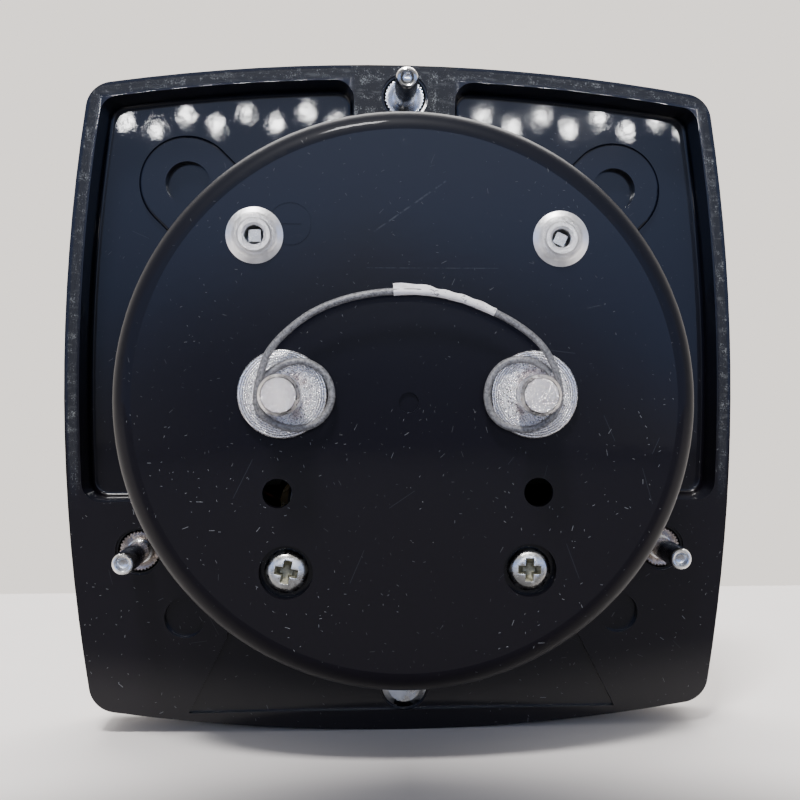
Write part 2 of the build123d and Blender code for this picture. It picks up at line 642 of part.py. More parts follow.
with BuildPart() as core_magnet:
    rod(CORE_RADIUS, YOKE_LENGTH, 0, 0, PIVOT_Z)
    chamfer(core_magnet.edges().filter_by(GeomType.CIRCLE), EDGE_BREAK)
save(core_magnet.part, "core_magnet")

with BuildPart() as core_spacers:
    for middle in (90, 270):
        with BuildSketch(across(YOKE_LENGTH - SPACER_INSET)):
            with BuildLine():
                arc_size = 2 * SPACER_HALF_ANGLE
                first = middle - SPACER_HALF_ANGLE
                inner = CenterArc((0, PIVOT_Z), CORE_RADIUS, first, arc_size)
                outer = CenterArc((0, PIVOT_Z), YOKE_BORE, first, arc_size)
                Line(inner @ 0, outer @ 0)
                Line(inner @ 1, outer @ 1)
            make_face()
        extrude(amount=YOKE_LENGTH - 2 * SPACER_INSET)
save(core_spacers.part, "core_spacers")

with BuildPart() as movement_plate:
    with BuildSketch(across(PLATE_FRONT_Y + PLATE_THICKNESS)) as plate_outline:
        with BuildLine():
            mirrored = [(-x, z) for x, z in reversed(PLATE_HALF_OUTLINE)]
            Polyline(*PLATE_HALF_OUTLINE, *mirrored, close=True)
        make_face()
        fillet(plate_outline.vertices(), PLATE_CORNER)
        with Locations(*both_sides(MOVEMENT_SCREW_SPOT)):
            Circle(MOVEMENT_SCREW_RADIUS + SCREW_CLEARANCE, mode=Mode.SUBTRACT)
        with Locations(*[on_circle(PILLAR_CIRCLE, angle, PIVOT_Z) for angle in PILLAR_ANGLES]):
            Circle(SMALL_SCREW_RADIUS + SCREW_CLEARANCE, mode=Mode.SUBTRACT)
        with Locations((0, PIVOT_Z)):
            Circle(REAR_JEWEL_SCREW_RADIUS, mode=Mode.SUBTRACT)
        with Locations((0, PIVOT_Z - SPRING_STUD_REACH - SPRING_STUD_RADIUS)):
            Circle(SPRING_STUD_RADIUS, mode=Mode.SUBTRACT)
    extrude(amount=PLATE_THICKNESS)
save(movement_plate.part, "movement_plate")

with BuildPart() as yoke_pillars:
    for angle in PILLAR_ANGLES:
        spot = on_circle(PILLAR_CIRCLE, angle, PIVOT_Z)
        rod(PILLAR_RADIUS, PLATE_FRONT_Y, YOKE_LENGTH, *spot)
        rod(SMALL_SCREW_RADIUS + SCREW_CLEARANCE, PLATE_FRONT_Y, YOKE_LENGTH, *spot, Mode.SUBTRACT)
save(yoke_pillars.part, "yoke_pillars")

with BuildPart() as yoke_screws:
    for angle in PILLAR_ANGLES:
        spot = on_circle(PILLAR_CIRCLE, angle, PIVOT_Z)
        seat_y = PLATE_FRONT_Y + PLATE_THICKNESS
        rod(SMALL_HEAD_RADIUS, seat_y + SMALL_HEAD_HEIGHT, seat_y, *spot)
        rod(SMALL_SCREW_RADIUS, seat_y, YOKE_LENGTH - YOKE_SCREW_REACH, *spot)
save(yoke_screws.part, "yoke_screws")

with BuildPart() as front_bridge:
    with BuildSketch(across(BRIDGE_REAR_Y)):
        with Locations((0, PIVOT_Z)):
            SlotOverall(2 * PILLAR_CIRCLE + 2 * BRIDGE_HALF_HEIGHT, 2 * BRIDGE_HALF_HEIGHT)
    extrude(amount=BRIDGE_THICKNESS)
    for x in (PILLAR_CIRCLE, -PILLAR_CIRCLE):
        rod(PILLAR_RADIUS, 0, BRIDGE_REAR_Y, x, PIVOT_Z)
    rod(BUSH_RADIUS, BRIDGE_FRONT_Y, BRIDGE_FRONT_Y - BUSH_HEIGHT, 0, PIVOT_Z)
    rod(FRONT_JEWEL_SCREW_RADIUS, BRIDGE_REAR_Y, BRIDGE_FRONT_Y - BUSH_HEIGHT, 0, PIVOT_Z, Mode.SUBTRACT)
    for x in (PILLAR_CIRCLE, -PILLAR_CIRCLE):
        rod(SMALL_SCREW_RADIUS + SCREW_CLEARANCE, 0, BRIDGE_FRONT_Y, x, PIVOT_Z, Mode.SUBTRACT)
save(front_bridge.part, "front_bridge")

with BuildPart() as bridge_screws:
    for x in (PILLAR_CIRCLE, -PILLAR_CIRCLE):
        rod(SMALL_HEAD_RADIUS, BRIDGE_FRONT_Y, BRIDGE_FRONT_Y - SMALL_HEAD_HEIGHT, x, PIVOT_Z)
        rod(SMALL_SCREW_RADIUS, BRIDGE_SCREW_END_Y, BRIDGE_FRONT_Y, x, PIVOT_Z)
save(bridge_screws.part, "bridge_screws")

# Jewel bearings, one at each end of the pivot line
with BuildPart() as front_jewel_screw:
    rod(FRONT_JEWEL_SCREW_RADIUS, FRONT_TIP_Y + JEWEL_LIP, FRONT_JEWEL_SCREW_END_Y, 0, PIVOT_Z)
    rod(JEWEL_RADIUS, FRONT_TIP_Y + JEWEL_LIP, FRONT_TIP_Y - JEWEL_DEPTH, 0, PIVOT_Z, Mode.SUBTRACT)
    with BuildSketch(across(FRONT_JEWEL_SCREW_END_Y + FRONT_JEWEL_SLOT_DEPTH)):
        with Locations((0, PIVOT_Z)):
            Rectangle(2 * BUSH_RADIUS, FRONT_JEWEL_SLOT_WIDTH)
    extrude(amount=FRONT_JEWEL_SLOT_DEPTH, mode=Mode.SUBTRACT)
save(front_jewel_screw.part, "front_jewel_screw")

with BuildPart() as rear_jewel_screw:
    rod(REAR_JEWEL_SCREW_RADIUS, REAR_JEWEL_SCREW_END_Y, REAR_TIP_Y - JEWEL_LIP, 0, PIVOT_Z)
    rod(JEWEL_RADIUS, REAR_TIP_Y + JEWEL_DEPTH, REAR_TIP_Y - JEWEL_LIP, 0, PIVOT_Z, Mode.SUBTRACT)
    with BuildSketch(across(REAR_JEWEL_SCREW_END_Y)):
        with Locations((0, PIVOT_Z)):
            Rectangle(2 * BUSH_RADIUS, REAR_JEWEL_SLOT_WIDTH)
    extrude(amount=REAR_JEWEL_SLOT_DEPTH, mode=Mode.SUBTRACT)
save(rear_jewel_screw.part, "rear_jewel_screw")

with BuildPart() as front_jewel:
    turn([(0, FRONT_TIP_Y - JEWEL_DEPTH), (JEWEL_RADIUS, FRONT_TIP_Y - JEWEL_DEPTH),
          (JEWEL_RADIUS, FRONT_TIP_Y + JEWEL_LIP), (CUP_RADIUS, FRONT_TIP_Y + JEWEL_LIP),
          (CUP_TIP_RADIUS, FRONT_TIP_Y - CUP_GAP), (0, FRONT_TIP_Y - CUP_GAP)],
         0, PIVOT_Z)
save(front_jewel.part, "front_jewel")

with BuildPart() as rear_jewel:
    turn([(0, REAR_TIP_Y + JEWEL_DEPTH), (JEWEL_RADIUS, REAR_TIP_Y + JEWEL_DEPTH),
          (JEWEL_RADIUS, REAR_TIP_Y - JEWEL_LIP), (CUP_RADIUS, REAR_TIP_Y - JEWEL_LIP),
          (CUP_TIP_RADIUS, REAR_TIP_Y + CUP_GAP), (0, REAR_TIP_Y + CUP_GAP)],
         0, PIVOT_Z)
save(rear_jewel.part, "rear_jewel")

with BuildPart() as jewel_lock_nuts:
    for rear_y, thickness, width, bore in (
        (BRIDGE_FRONT_Y - BUSH_HEIGHT, FRONT_LOCK_NUT_THICKNESS, FRONT_LOCK_NUT_WIDTH,
         FRONT_JEWEL_SCREW_RADIUS),
        (PLATE_FRONT_Y + PLATE_THICKNESS + REAR_LOCK_NUT_THICKNESS, REAR_LOCK_NUT_THICKNESS,
         REAR_LOCK_NUT_WIDTH, REAR_JEWEL_SCREW_RADIUS),
    ):
        with BuildSketch(across(rear_y)):
            with Locations((0, PIVOT_Z)):
                RegularPolygon(width / 2, 6, major_radius=False)
                Circle(bore, mode=Mode.SUBTRACT)
        extrude(amount=thickness)
save(jewel_lock_nuts.part, "jewel_lock_nuts")

# Moving coil: former, winding, pivots
def coil_loop(reach, thickness, width, gap):
    """A rectangular loop round the core, its sides along Y, given by its inside reach and end gap."""
    with BuildSketch(lengthwise(0, PIVOT_Z)) as loop:
        with Locations((0, YOKE_LENGTH / 2)):
            Rectangle(2 * (reach + thickness), YOKE_LENGTH + 2 * (gap + thickness))
            Rectangle(2 * reach, YOKE_LENGTH + 2 * gap, mode=Mode.SUBTRACT)
    extrude(loop.sketch, amount=width / 2, both=True)


with BuildPart() as coil_former:
    coil_loop(COIL_REACH, COIL_FORMER_THICKNESS, COIL_FORMER_WIDTH, COIL_END_GAP)
save(coil_former.part, "coil_former")

with BuildPart() as coil_winding:
    coil_loop(COIL_REACH + COIL_FORMER_THICKNESS, COIL_WINDING_THICKNESS, COIL_WINDING_WIDTH,
              COIL_END_GAP + COIL_FORMER_THICKNESS)
    outer_corners = coil_winding.edges().filter_by(Axis.Z).group_by(
        lambda edge: round(abs(edge.center().X), 3))[-1]
    fillet(outer_corners, EDGE_BREAK)
save(coil_winding.part, "coil_winding")

with BuildPart() as pivot_front:
    collet_y = FRONT_SPRING_Y + COLLET_LIP
    collet_end_y = FRONT_SPRING_Y - SPRING_WIDTH - COLLET_LIP
    turn([(0, COIL_FRONT_Y), (BASE_RADIUS, COIL_FRONT_Y), (BASE_RADIUS, COIL_FRONT_Y - BASE_HEIGHT),
          (PIVOT_RADIUS, COIL_FRONT_Y - BASE_HEIGHT), (PIVOT_RADIUS, collet_y),
          (COLLET_RADIUS, collet_y), (COLLET_RADIUS, collet_end_y),
          (PIVOT_RADIUS, collet_end_y), (PIVOT_RADIUS, FRONT_TIP_Y + POINT_LENGTH),
          (POINT_RADIUS, FRONT_TIP_Y), (0, FRONT_TIP_Y)], 0, PIVOT_Z)
save(pivot_front.part, "pivot_front")

with BuildPart() as pivot_rear:
    collet_y = REAR_SPRING_Y - SPRING_WIDTH - COLLET_LIP
    collet_end_y = REAR_SPRING_Y + COLLET_LIP
    turn([(0, COIL_REAR_Y), (BASE_RADIUS, COIL_REAR_Y), (BASE_RADIUS, COIL_REAR_Y + BASE_HEIGHT),
          (PIVOT_RADIUS, COIL_REAR_Y + BASE_HEIGHT), (PIVOT_RADIUS, collet_y),
          (COLLET_RADIUS, collet_y), (COLLET_RADIUS, collet_end_y),
          (PIVOT_RADIUS, collet_end_y), (PIVOT_RADIUS, REAR_TIP_Y - POINT_LENGTH),
          (POINT_RADIUS, REAR_TIP_Y), (0, REAR_TIP_Y)], 0, PIVOT_Z)
save(pivot_rear.part, "pivot_rear")

# Pointer: a thin cranked strip that passes through the dial's cut-out, with a balance cross
with BuildPart() as pointer:
    with BuildSketch(Plane(origin=(0, 0, PIVOT_Z), x_dir=(0, 1, 0), z_dir=(1, 0, 0))):
        with BuildLine():
            middle_y = POINTER_Y - POINTER_THICKNESS / 2
            Polyline((middle_y, POINTER_ROOT), (middle_y, POINTER_CRANK[0]),
                     (POINTER_FRONT_Y, POINTER_CRANK[1]), (POINTER_FRONT_Y, POINTER_LENGTH))
        trace(line_width=POINTER_THICKNESS)
    extrude(amount=POINTER_HALF_WIDTH, both=True)
    with BuildSketch(across(0)):
        with BuildLine():
            Polyline((-POINTER_HALF_WIDTH, PIVOT_Z), (POINTER_HALF_WIDTH, PIVOT_Z),
                     (POINTER_HALF_WIDTH, PIVOT_Z + STOP_CIRCLE), (TIP_HALF_WIDTH, PIVOT_Z + POINTER_LENGTH),
                     (-TIP_HALF_WIDTH, PIVOT_Z + POINTER_LENGTH),
                     (-POINTER_HALF_WIDTH, PIVOT_Z + STOP_CIRCLE), close=True)
        make_face()
    extrude(amount=-2 * POINTER_FRONT_Y, mode=Mode.INTERSECT)
    with BuildSketch(across(POINTER_Y)):
        with Locations((0, PIVOT_Z)):
            Circle(POINTER_HUB_RADIUS)
            Rectangle(2 * SIDE_ARM_LENGTH, ARM_WIDTH)
            with Locations((0, -TAIL_LENGTH / 2)):
                Rectangle(ARM_WIDTH, TAIL_LENGTH)
            Circle(PIVOT_RADIUS, mode=Mode.SUBTRACT)
    extrude(amount=POINTER_THICKNESS)
save(pointer.part, "pointer")

with BuildPart() as balance_weights:
    arm_y = POINTER_Y - POINTER_THICKNESS / 2
    for direction, nearest, length in (((0, 0, -1), TAIL_WEIGHT_PLACE, TAIL_WEIGHT_LENGTH),
                                       ((1, 0, 0), SIDE_WEIGHT_PLACE, SIDE_WEIGHT_LENGTH),
                                       ((-1, 0, 0), SIDE_WEIGHT_PLACE, SIDE_WEIGHT_LENGTH)):
        start = Vector(0, arm_y, PIVOT_Z) + Vector(*direction) * nearest
        with BuildSketch(Plane(start, x_dir=(0, 1, 0), z_dir=direction)):
            Circle(BALANCE_RADIUS)
            Circle(BALANCE_BORE, mode=Mode.SUBTRACT)
        extrude(amount=length)
save(balance_weights.part, "balance_weights")


# Hairsprings: flat spirals of half circles about two centres half a pitch apart
def hairspring(rear_y, hand):
    """One flat spiral from the collet outwards; its outer end is straight below the pivot line."""
    with BuildSketch(across(rear_y)) as strip:
        with BuildLine():
            height, side = COLLET_RADIUS + SPRING_STRIP / 2, 1
            for half_turn in range(SPRING_HALF_TURNS):
                radius = COLLET_RADIUS + SPRING_STRIP / 2 + half_turn * SPRING_PITCH / 2
                middle = height - side * radius
                ThreePointArc((0, PIVOT_Z + height), (hand * side * radius, PIVOT_Z + middle),
                              (0, PIVOT_Z + middle - side * radius))
                height, side = middle - side * radius, -side
        trace(line_width=SPRING_STRIP)
    extrude(strip.sketch, amount=SPRING_WIDTH)


with BuildPart() as hairspring_front:
    hairspring(FRONT_SPRING_Y, 1)
save(hairspring_front.part, "hairspring_front")

with BuildPart() as hairspring_rear:
    hairspring(REAR_SPRING_Y, -1)
save(hairspring_rear.part, "hairspring_rear")

with BuildPart() as rear_spring_stud:
    stud_z = PIVOT_Z - SPRING_STUD_REACH - SPRING_STUD_RADIUS
    rod(SPRING_STUD_RADIUS, SPRING_STUD_REAR_Y, SPRING_STUD_FRONT_Y, 0, stud_z)
save(rear_spring_stud.part, "rear_spring_stud")

# Zero adjuster: slotted screw with its retaining collar, and the forked arm it swings
with BuildPart() as zero_adjust_screw:
    seat_y = COVER_FRONT_Y + MASK_THICKNESS
    head_end_y = seat_y - ZERO_HEAD_HEIGHT
    turn([(0, ZERO_SHAFT_END_Y), (ZERO_SHAFT_RADIUS, ZERO_SHAFT_END_Y),
          (ZERO_SHAFT_RADIUS, seat_y), (ZERO_HEAD_RADIUS, seat_y),
          (ZERO_HEAD_RADIUS, head_end_y + ZERO_HEAD_BEVEL),
          (ZERO_HEAD_RADIUS - ZERO_HEAD_BEVEL, head_end_y), (0, head_end_y)],
         0, ZERO_SCREW_Z)
    rod(CRANK_PIN_RADIUS, ARM_REAR_Y + CRANK_PIN_OVERHANG, ZERO_SHAFT_END_Y, 0, ZERO_SCREW_Z + CRANK_THROW)
    with BuildSketch(across(head_end_y + ZERO_SLOT_DEPTH)):
        with Locations((0, ZERO_SCREW_Z)):
            Rectangle(ZERO_SLOT_WIDTH, 3 * ZERO_HEAD_RADIUS)
    extrude(amount=ZERO_SLOT_DEPTH, mode=Mode.SUBTRACT)
save(zero_adjust_screw.part, "zero_adjust_screw")

with BuildPart() as zero_screw_clip:
    clip_front_y = ZERO_CLIP_REAR_Y - ZERO_CLIP_THICKNESS
    rod(ZERO_SHAFT_RADIUS + ZERO_CLIP_RIM, ZERO_CLIP_REAR_Y, clip_front_y, 0, ZERO_SCREW_Z)
    rod(ZERO_SHAFT_RADIUS, ZERO_CLIP_REAR_Y, clip_front_y, 0, ZERO_SCREW_Z, Mode.SUBTRACT)
save(zero_screw_clip.part, "zero_screw_clip")

with BuildPart() as zero_adjuster_arm:
    slot_half = CRANK_PIN_RADIUS + FORK_CLEARANCE
    with BuildSketch(across(ARM_REAR_Y)):
        with Locations((0, PIVOT_Z)):
            Circle(ARM_HUB_RADIUS)
        with Locations((0, PIVOT_Z - FORK_REACH / 2)):
            Rectangle(ARM_BAR_WIDTH, ARM_BAR_LENGTH)
        with Locations((0, PIVOT_Z - FORK_REACH)):
            Rectangle(2 * (slot_half + FORK_WALL), FORK_HEIGHT)
            with Locations((0, -FORK_SLOT_DROP)):
                Rectangle(2 * slot_half, FORK_SLOT_HEIGHT, mode=Mode.SUBTRACT)
        with Locations((0, PIVOT_Z)):
            Circle(BUSH_RADIUS + RUNNING_CLEARANCE, mode=Mode.SUBTRACT)
    extrude(amount=ARM_THICKNESS)
    tab_rear_y = FRONT_SPRING_Y + FITTING_GAP
    with BuildSketch(across(tab_rear_y)):
        with Locations((0, PIVOT_Z - SPRING_STUD_REACH - SPRING_TAB_THICKNESS / 2)):
            Rectangle(SPRING_TAB_WIDTH, SPRING_TAB_THICKNESS)
    extrude(amount=tab_rear_y - ARM_REAR_Y + ARM_THICKNESS)
save(zero_adjuster_arm.part, "zero_adjuster_arm")

# Screws that hold the movement plate to the rear wall
with BuildPart() as movement_screws:
    seat_y = BARREL_DEPTH - COUNTERBORE_DEPTH
    for x, z in both_sides(MOVEMENT_SCREW_SPOT):
        point_y = PLATE_FRONT_Y - MOVEMENT_SCREW_RUNOUT
        head_y = seat_y + PAN_HEAD_HEIGHT
        turn([(0, point_y), (MOVEMENT_SCREW_RADIUS, point_y), (MOVEMENT_SCREW_RADIUS, seat_y),
              (PAN_HEAD_RADIUS, seat_y), (PAN_HEAD_RADIUS, seat_y + PAN_HEAD_EDGE),
              (PAN_HEAD_RADIUS - PAN_HEAD_TAPER, head_y), (0, head_y)], x, z)
        for tilt in (0, 90):
            with BuildSketch(across(seat_y + PAN_HEAD_HEIGHT)):
                with Locations(Location((x, z), tilt)):
                    Rectangle(CROSS_LENGTH, CROSS_WIDTH)
            extrude(amount=CROSS_DEPTH, mode=Mode.SUBTRACT)
save(movement_screws.part, "movement_screws")

# Terminals: post, turned disc, insulating washer, solder lug and nut, left and right
for side, (x, z) in zip(("right", "left"), both_sides(TERMINAL_SPOT)):
    with BuildPart() as terminal_post:
        turn([(0, POST_INNER_Y), (POST_SHANK_RADIUS, POST_INNER_Y), (POST_SHANK_RADIUS, POST_SHOULDER_Y),
              (POST_RADIUS, POST_SHOULDER_Y), (POST_RADIUS, POST_END_Y - POST_TIP_LENGTH),
              (POST_RADIUS - POST_TIP_TAPER, POST_END_Y), (0, POST_END_Y)], x, z)
    save(terminal_post.part, f"terminal_post_{side}")
    with BuildPart() as terminal_disc:
        rod(DISC_RADIUS, DISC_FACE_Y, BARREL_DEPTH, x, z)
        chamfer(terminal_disc.edges().filter_by(GeomType.CIRCLE).group_by(Axis.Y)[-1], DISC_BEVEL)
        rod(POST_SHANK_RADIUS, DISC_FACE_Y, BARREL_DEPTH, x, z, Mode.SUBTRACT)
    save(terminal_disc.part, f"terminal_disc_{side}")

with BuildPart() as terminal_washers:
    for x, z in both_sides(TERMINAL_SPOT):
        rod(WASHER_RADIUS, INNER_FACE_Y, SOLDER_LUG_REAR_Y, x, z)
        rod(POST_SHANK_RADIUS, INNER_FACE_Y, SOLDER_LUG_REAR_Y, x, z, Mode.SUBTRACT)
save(terminal_washers.part, "terminal_washers")

with BuildPart() as solder_lugs:
    for (x, z), tail in zip(both_sides(TERMINAL_SPOT), (-1, 1)):
        with BuildSketch(across(SOLDER_LUG_REAR_Y)):
            with Locations((x, z)):
                Circle(SOLDER_RING_RADIUS)
                with Locations((0, tail * SOLDER_TAIL_REACH)):
                    SlotOverall(SOLDER_TAIL_LENGTH, SOLDER_TAIL_WIDTH, rotation=90)
                Circle(POST_SHANK_RADIUS, mode=Mode.SUBTRACT)
        extrude(amount=SOLDER_LUG_THICKNESS)
save(solder_lugs.part, "solder_lugs")

with BuildPart() as terminal_nuts:
    for x, z in both_sides(TERMINAL_SPOT):
        with BuildSketch(across(SOLDER_LUG_REAR_Y - SOLDER_LUG_THICKNESS)):
            with Locations((x, z)):
                RegularPolygon(NUT_ACROSS_FLATS / 2, 6, major_radius=False)
                Circle(POST_SHANK_RADIUS, mode=Mode.SUBTRACT)
        extrude(amount=NUT_THICKNESS)
save(terminal_nuts.part, "terminal_nuts")

# Tag board on two tubular rivets, with square pegs, solder tags and the series resistor
with BuildPart() as tag_board:
    with BuildSketch(across(INNER_FACE_Y)) as board_outline:
        with Locations((0, BOARD_Z)):
            Rectangle(BOARD_WIDTH, BOARD_HEIGHT)
        chamfer(board_outline.vertices().group_by(Axis.Y)[-1], BOARD_BEVEL)
        with Locations(*both_sides(RIVET_SPOT)):
            Circle(RIVET_SHANK_RADIUS, mode=Mode.SUBTRACT)
        with Locations(*both_sides(BOARD_TAG_SPOT)):
            Circle(BOARD_TAG_RADIUS, mode=Mode.SUBTRACT)
    extrude(amount=BOARD_THICKNESS)
save(tag_board.part, "tag_board")

for side, (x, z) in zip(("right", "left"), both_sides(RIVET_SPOT)):
    with BuildPart() as rivet:
        tail_y = BOARD_FRONT_Y - RIVET_TAIL_HEIGHT
        ring_y = BARREL_DEPTH + RIVET_RING_HEIGHT
        turn([(RIVET_BORE, tail_y), (RIVET_TAIL_RADIUS, tail_y), (RIVET_TAIL_RADIUS, BOARD_FRONT_Y),
              (RIVET_SHANK_RADIUS, BOARD_FRONT_Y), (RIVET_SHANK_RADIUS, BARREL_DEPTH),
              (RIVET_FLANGE_RADIUS, BARREL_DEPTH), (RIVET_FLANGE_RADIUS, BARREL_DEPTH + RIVET_FLANGE_EDGE),
              (RIVET_RING_RADIUS, BARREL_DEPTH + RIVET_CONE_HEIGHT),
              (RIVET_RING_RADIUS - RIVET_RING_TAPER, ring_y),
              (RIVET_BORE + RIVET_LIP, ring_y), (RIVET_BORE, ring_y - RIVET_LIP)], x, z)
    save(rivet.part, f"rivet_{side}")

with BuildPart() as board_pegs:
    for (x, z), tilt in zip(both_sides(RIVET_SPOT), PEG_TILTS):
        with BuildSketch(across(PEG_END_Y)):
            with Locations(Location((x, z), tilt)):
                Rectangle(PEG_SIZE, PEG_SIZE)
        extrude(amount=PEG_END_Y - BOARD_FRONT_Y + PEG_BASE_DEPTH)
        rod(PEG_BASE_RADIUS, BOARD_FRONT_Y - RIVET_TAIL_HEIGHT, BOARD_FRONT_Y - PEG_BASE_DEPTH, x, z)
save(board_pegs.part, "board_pegs")

with BuildPart() as board_tags:
    for x, z in both_sides(BOARD_TAG_SPOT):
        rod(BOARD_TAG_RADIUS, INNER_FACE_Y, BOARD_FRONT_Y - BOARD_TAG_LENGTH, x, z)
        rod(BOARD_TAG_RADIUS + BOARD_TAG_RIM, BOARD_FRONT_Y, BOARD_FRONT_Y - BOARD_TAG_RIM_HEIGHT, x, z)
save(board_tags.part, "board_tags")

with BuildPart() as series_resistor:
    tag_x, tag_z = BOARD_TAG_SPOT
    resistor_y = BOARD_FRONT_Y - RESISTOR_DROP
    resistor_end = Plane((0, resistor_y, tag_z), x_dir=(0, 0, 1), z_dir=(1, 0, 0))
    with BuildSketch(resistor_end):
        Circle(RESISTOR_RADIUS)
    extrude(amount=RESISTOR_HALF_LENGTH, both=True)
    fillet(series_resistor.edges().filter_by(GeomType.CIRCLE), RESISTOR_ROUND)
    with BuildSketch(resistor_end):
        Circle(RESISTOR_WIRE_RADIUS)
    extrude(amount=tag_x + RESISTOR_WIRE_RADIUS, both=True)
    for x in (tag_x, -tag_x):
        rod(RESISTOR_WIRE_RADIUS, BOARD_FRONT_Y - BOARD_TAG_LENGTH, resistor_y, x, tag_z)
save(series_resistor.part, "series_resistor")

# Leads inside the barrel, each a route of short straight runs with wide bends
lug_face_y = SOLDER_LUG_REAR_Y - SOLDER_LUG_THICKNESS - LEAD_DIAMETER / 2
with BuildPart() as lead_terminal:
    route = [(-14.92, lug_face_y, 6.3), (-14.92, 20.9, 10.5), (-12.5, 20.35, 14.0), (-9.5, 20.3, 17.05)]
    swept_tube(route, bend_radii(route), LEAD_DIAMETER)
save(lead_terminal.part, "lead_terminal")

with BuildPart() as lead_rear_spring:
    route = [(9.7, 20.3, 16.9), (10.2, 19.4, 11.0), (8.4, 18.9, 4.0), (6.6, 19.2, -5.0),
             (5.2, 19.3, -13.2), (3.6, 18.7, -17.4), (0.75, 18.3, -18.7)]
    swept_tube(route, bend_radii(route), LEAD_DIAMETER)
save(lead_rear_spring.part, "lead_rear_spring")

with BuildPart() as lead_front_bridge:
    route = [(14.92, lug_face_y, -4.3), (15.4, 20.5, -7.0), (19.2, 17.0, -9.2), (20.0, 10.0, -10.2),
             (20.0, 2.0, -11.2), (19.6, -4.4, -12.6), (17.0, -6.2, -14.0)]
    swept_tube(route, bend_radii(route), LEAD_DIAMETER)
save(lead_front_bridge.part, "lead_front_bridge")

# Mounting studs, each with a collar moulded into the flange
with BuildPart() as mounting_studs:
    for angle in STUD_ANGLES:
        spot = on_circle(STUD_CIRCLE_RADIUS, angle)
        collar_end_y = COLLAR_TOP_Y - COLLAR_DEPTH
        turn([(0, collar_end_y), (COLLAR_RADIUS, collar_end_y), (COLLAR_RADIUS, COLLAR_TOP_Y),
              (STUD_RADIUS, COLLAR_TOP_Y), (STUD_RADIUS, STUD_LENGTH - STUD_TIP_LENGTH),
              (STUD_RADIUS - STUD_TIP_TAPER, STUD_LENGTH), (0, STUD_LENGTH)], *spot)
save(mounting_studs.part, "mounting_studs")

# Shorting wire: a stiff wire looped loosely round both posts and arched between them
SHORTING_ROUTE = [
    (17.30, 27.08, 2.90), (14.80, 27.08, 4.74), (11.95, 27.08, 4.99), (9.61, 27.08, 3.35),
    (8.87, 27.10, 0.59), (10.07, 27.08, -2.01), (12.67, 27.08, -3.21), (15.50, 27.08, -2.75),
    (17.86, 27.20, -1.00), (17.88, 27.55, 1.30), (17.20, 27.95, 3.80), (16.50, 28.30, 6.00),
    (14.00, 28.60, 8.70), (10.60, 28.80, 11.10), (5.60, 28.90, 12.78), (-0.90, 28.90, 13.28),
    (-4.60, 28.90, 12.72), (-7.90, 28.80, 11.70), (-12.30, 28.70, 9.60), (-15.60, 28.40, 7.10),
    (-17.30, 28.00, 4.20), (-17.95, 27.50, 1.60), (-17.75, 27.20, -0.90), (-15.90, 27.08, -2.75),
    (-13.60, 27.08, -3.30), (-10.90, 27.08, -2.70), (-9.20, 27.10, -0.60), (-9.20, 27.08, 2.30),
    (-10.80, 27.08, 4.70), (-13.50, 27.08, 5.40), (-15.90, 27.08, 4.50), (-16.80, 27.08, 3.55),
]
wire_bends = bend_radii(SHORTING_ROUTE)
with BuildPart() as shorting_wire:
    swept_tube(SHORTING_ROUTE, wire_bends, WIRE_DIAMETER)
save(shorting_wire.part, "shorting_wire")
print(f"shorting wire volume {shorting_wire.part.volume:.2f} mm3")

# Paper tag wrapped round the top of the wire, its two ends stuck together as a flag at one side
tag_points = [Vector(*point) for point in SHORTING_ROUTE[TAG_FIRST_RUN : TAG_LAST_RUN + 2]]
tag_start = (tag_points[0] + tag_points[1]) / 2
tag_end = (tag_points[-2] + tag_points[-1]) / 2
with BuildPart() as wire_tag:
    swept_tube([tag_start, *tag_points[1:-1], tag_end], wire_bends[TAG_FIRST_RUN:TAG_LAST_RUN], TAG_DIAMETER)
    with BuildSketch(across(tag_start.Y + TAG_PAPER)):
        with BuildLine():
            Polyline(*TAG_FLAG_OUTLINE, close=True)
        make_face()
    extrude(amount=2 * TAG_PAPER)
    add(shorting_wire.part, mode=Mode.SUBTRACT)
save(wire_tag.part, "wire_tag")
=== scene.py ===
"""Looks for the panel galvanometer: materials, detailed pieces, studio and camera, in metres."""
import json
import math

import bmesh
import bpy
from mathutils import Matrix, Vector


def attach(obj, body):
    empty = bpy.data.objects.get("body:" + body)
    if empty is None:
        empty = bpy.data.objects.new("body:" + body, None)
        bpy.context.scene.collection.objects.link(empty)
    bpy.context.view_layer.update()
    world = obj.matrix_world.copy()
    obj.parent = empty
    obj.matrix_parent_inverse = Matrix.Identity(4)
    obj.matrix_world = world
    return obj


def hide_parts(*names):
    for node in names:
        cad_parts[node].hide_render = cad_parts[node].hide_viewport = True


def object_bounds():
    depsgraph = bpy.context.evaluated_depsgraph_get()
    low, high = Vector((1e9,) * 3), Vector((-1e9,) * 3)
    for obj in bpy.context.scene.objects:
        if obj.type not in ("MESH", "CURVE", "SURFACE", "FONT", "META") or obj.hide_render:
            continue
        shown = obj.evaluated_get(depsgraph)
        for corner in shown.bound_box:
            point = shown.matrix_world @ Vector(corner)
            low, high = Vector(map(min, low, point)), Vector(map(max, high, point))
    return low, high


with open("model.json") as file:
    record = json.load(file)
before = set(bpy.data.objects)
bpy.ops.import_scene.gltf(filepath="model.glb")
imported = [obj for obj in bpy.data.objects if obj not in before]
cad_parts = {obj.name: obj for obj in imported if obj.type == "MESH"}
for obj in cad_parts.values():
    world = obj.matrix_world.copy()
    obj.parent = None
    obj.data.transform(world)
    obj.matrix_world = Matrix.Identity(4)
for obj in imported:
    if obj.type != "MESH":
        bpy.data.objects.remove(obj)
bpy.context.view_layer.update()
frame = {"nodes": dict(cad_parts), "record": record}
MM = 0.001

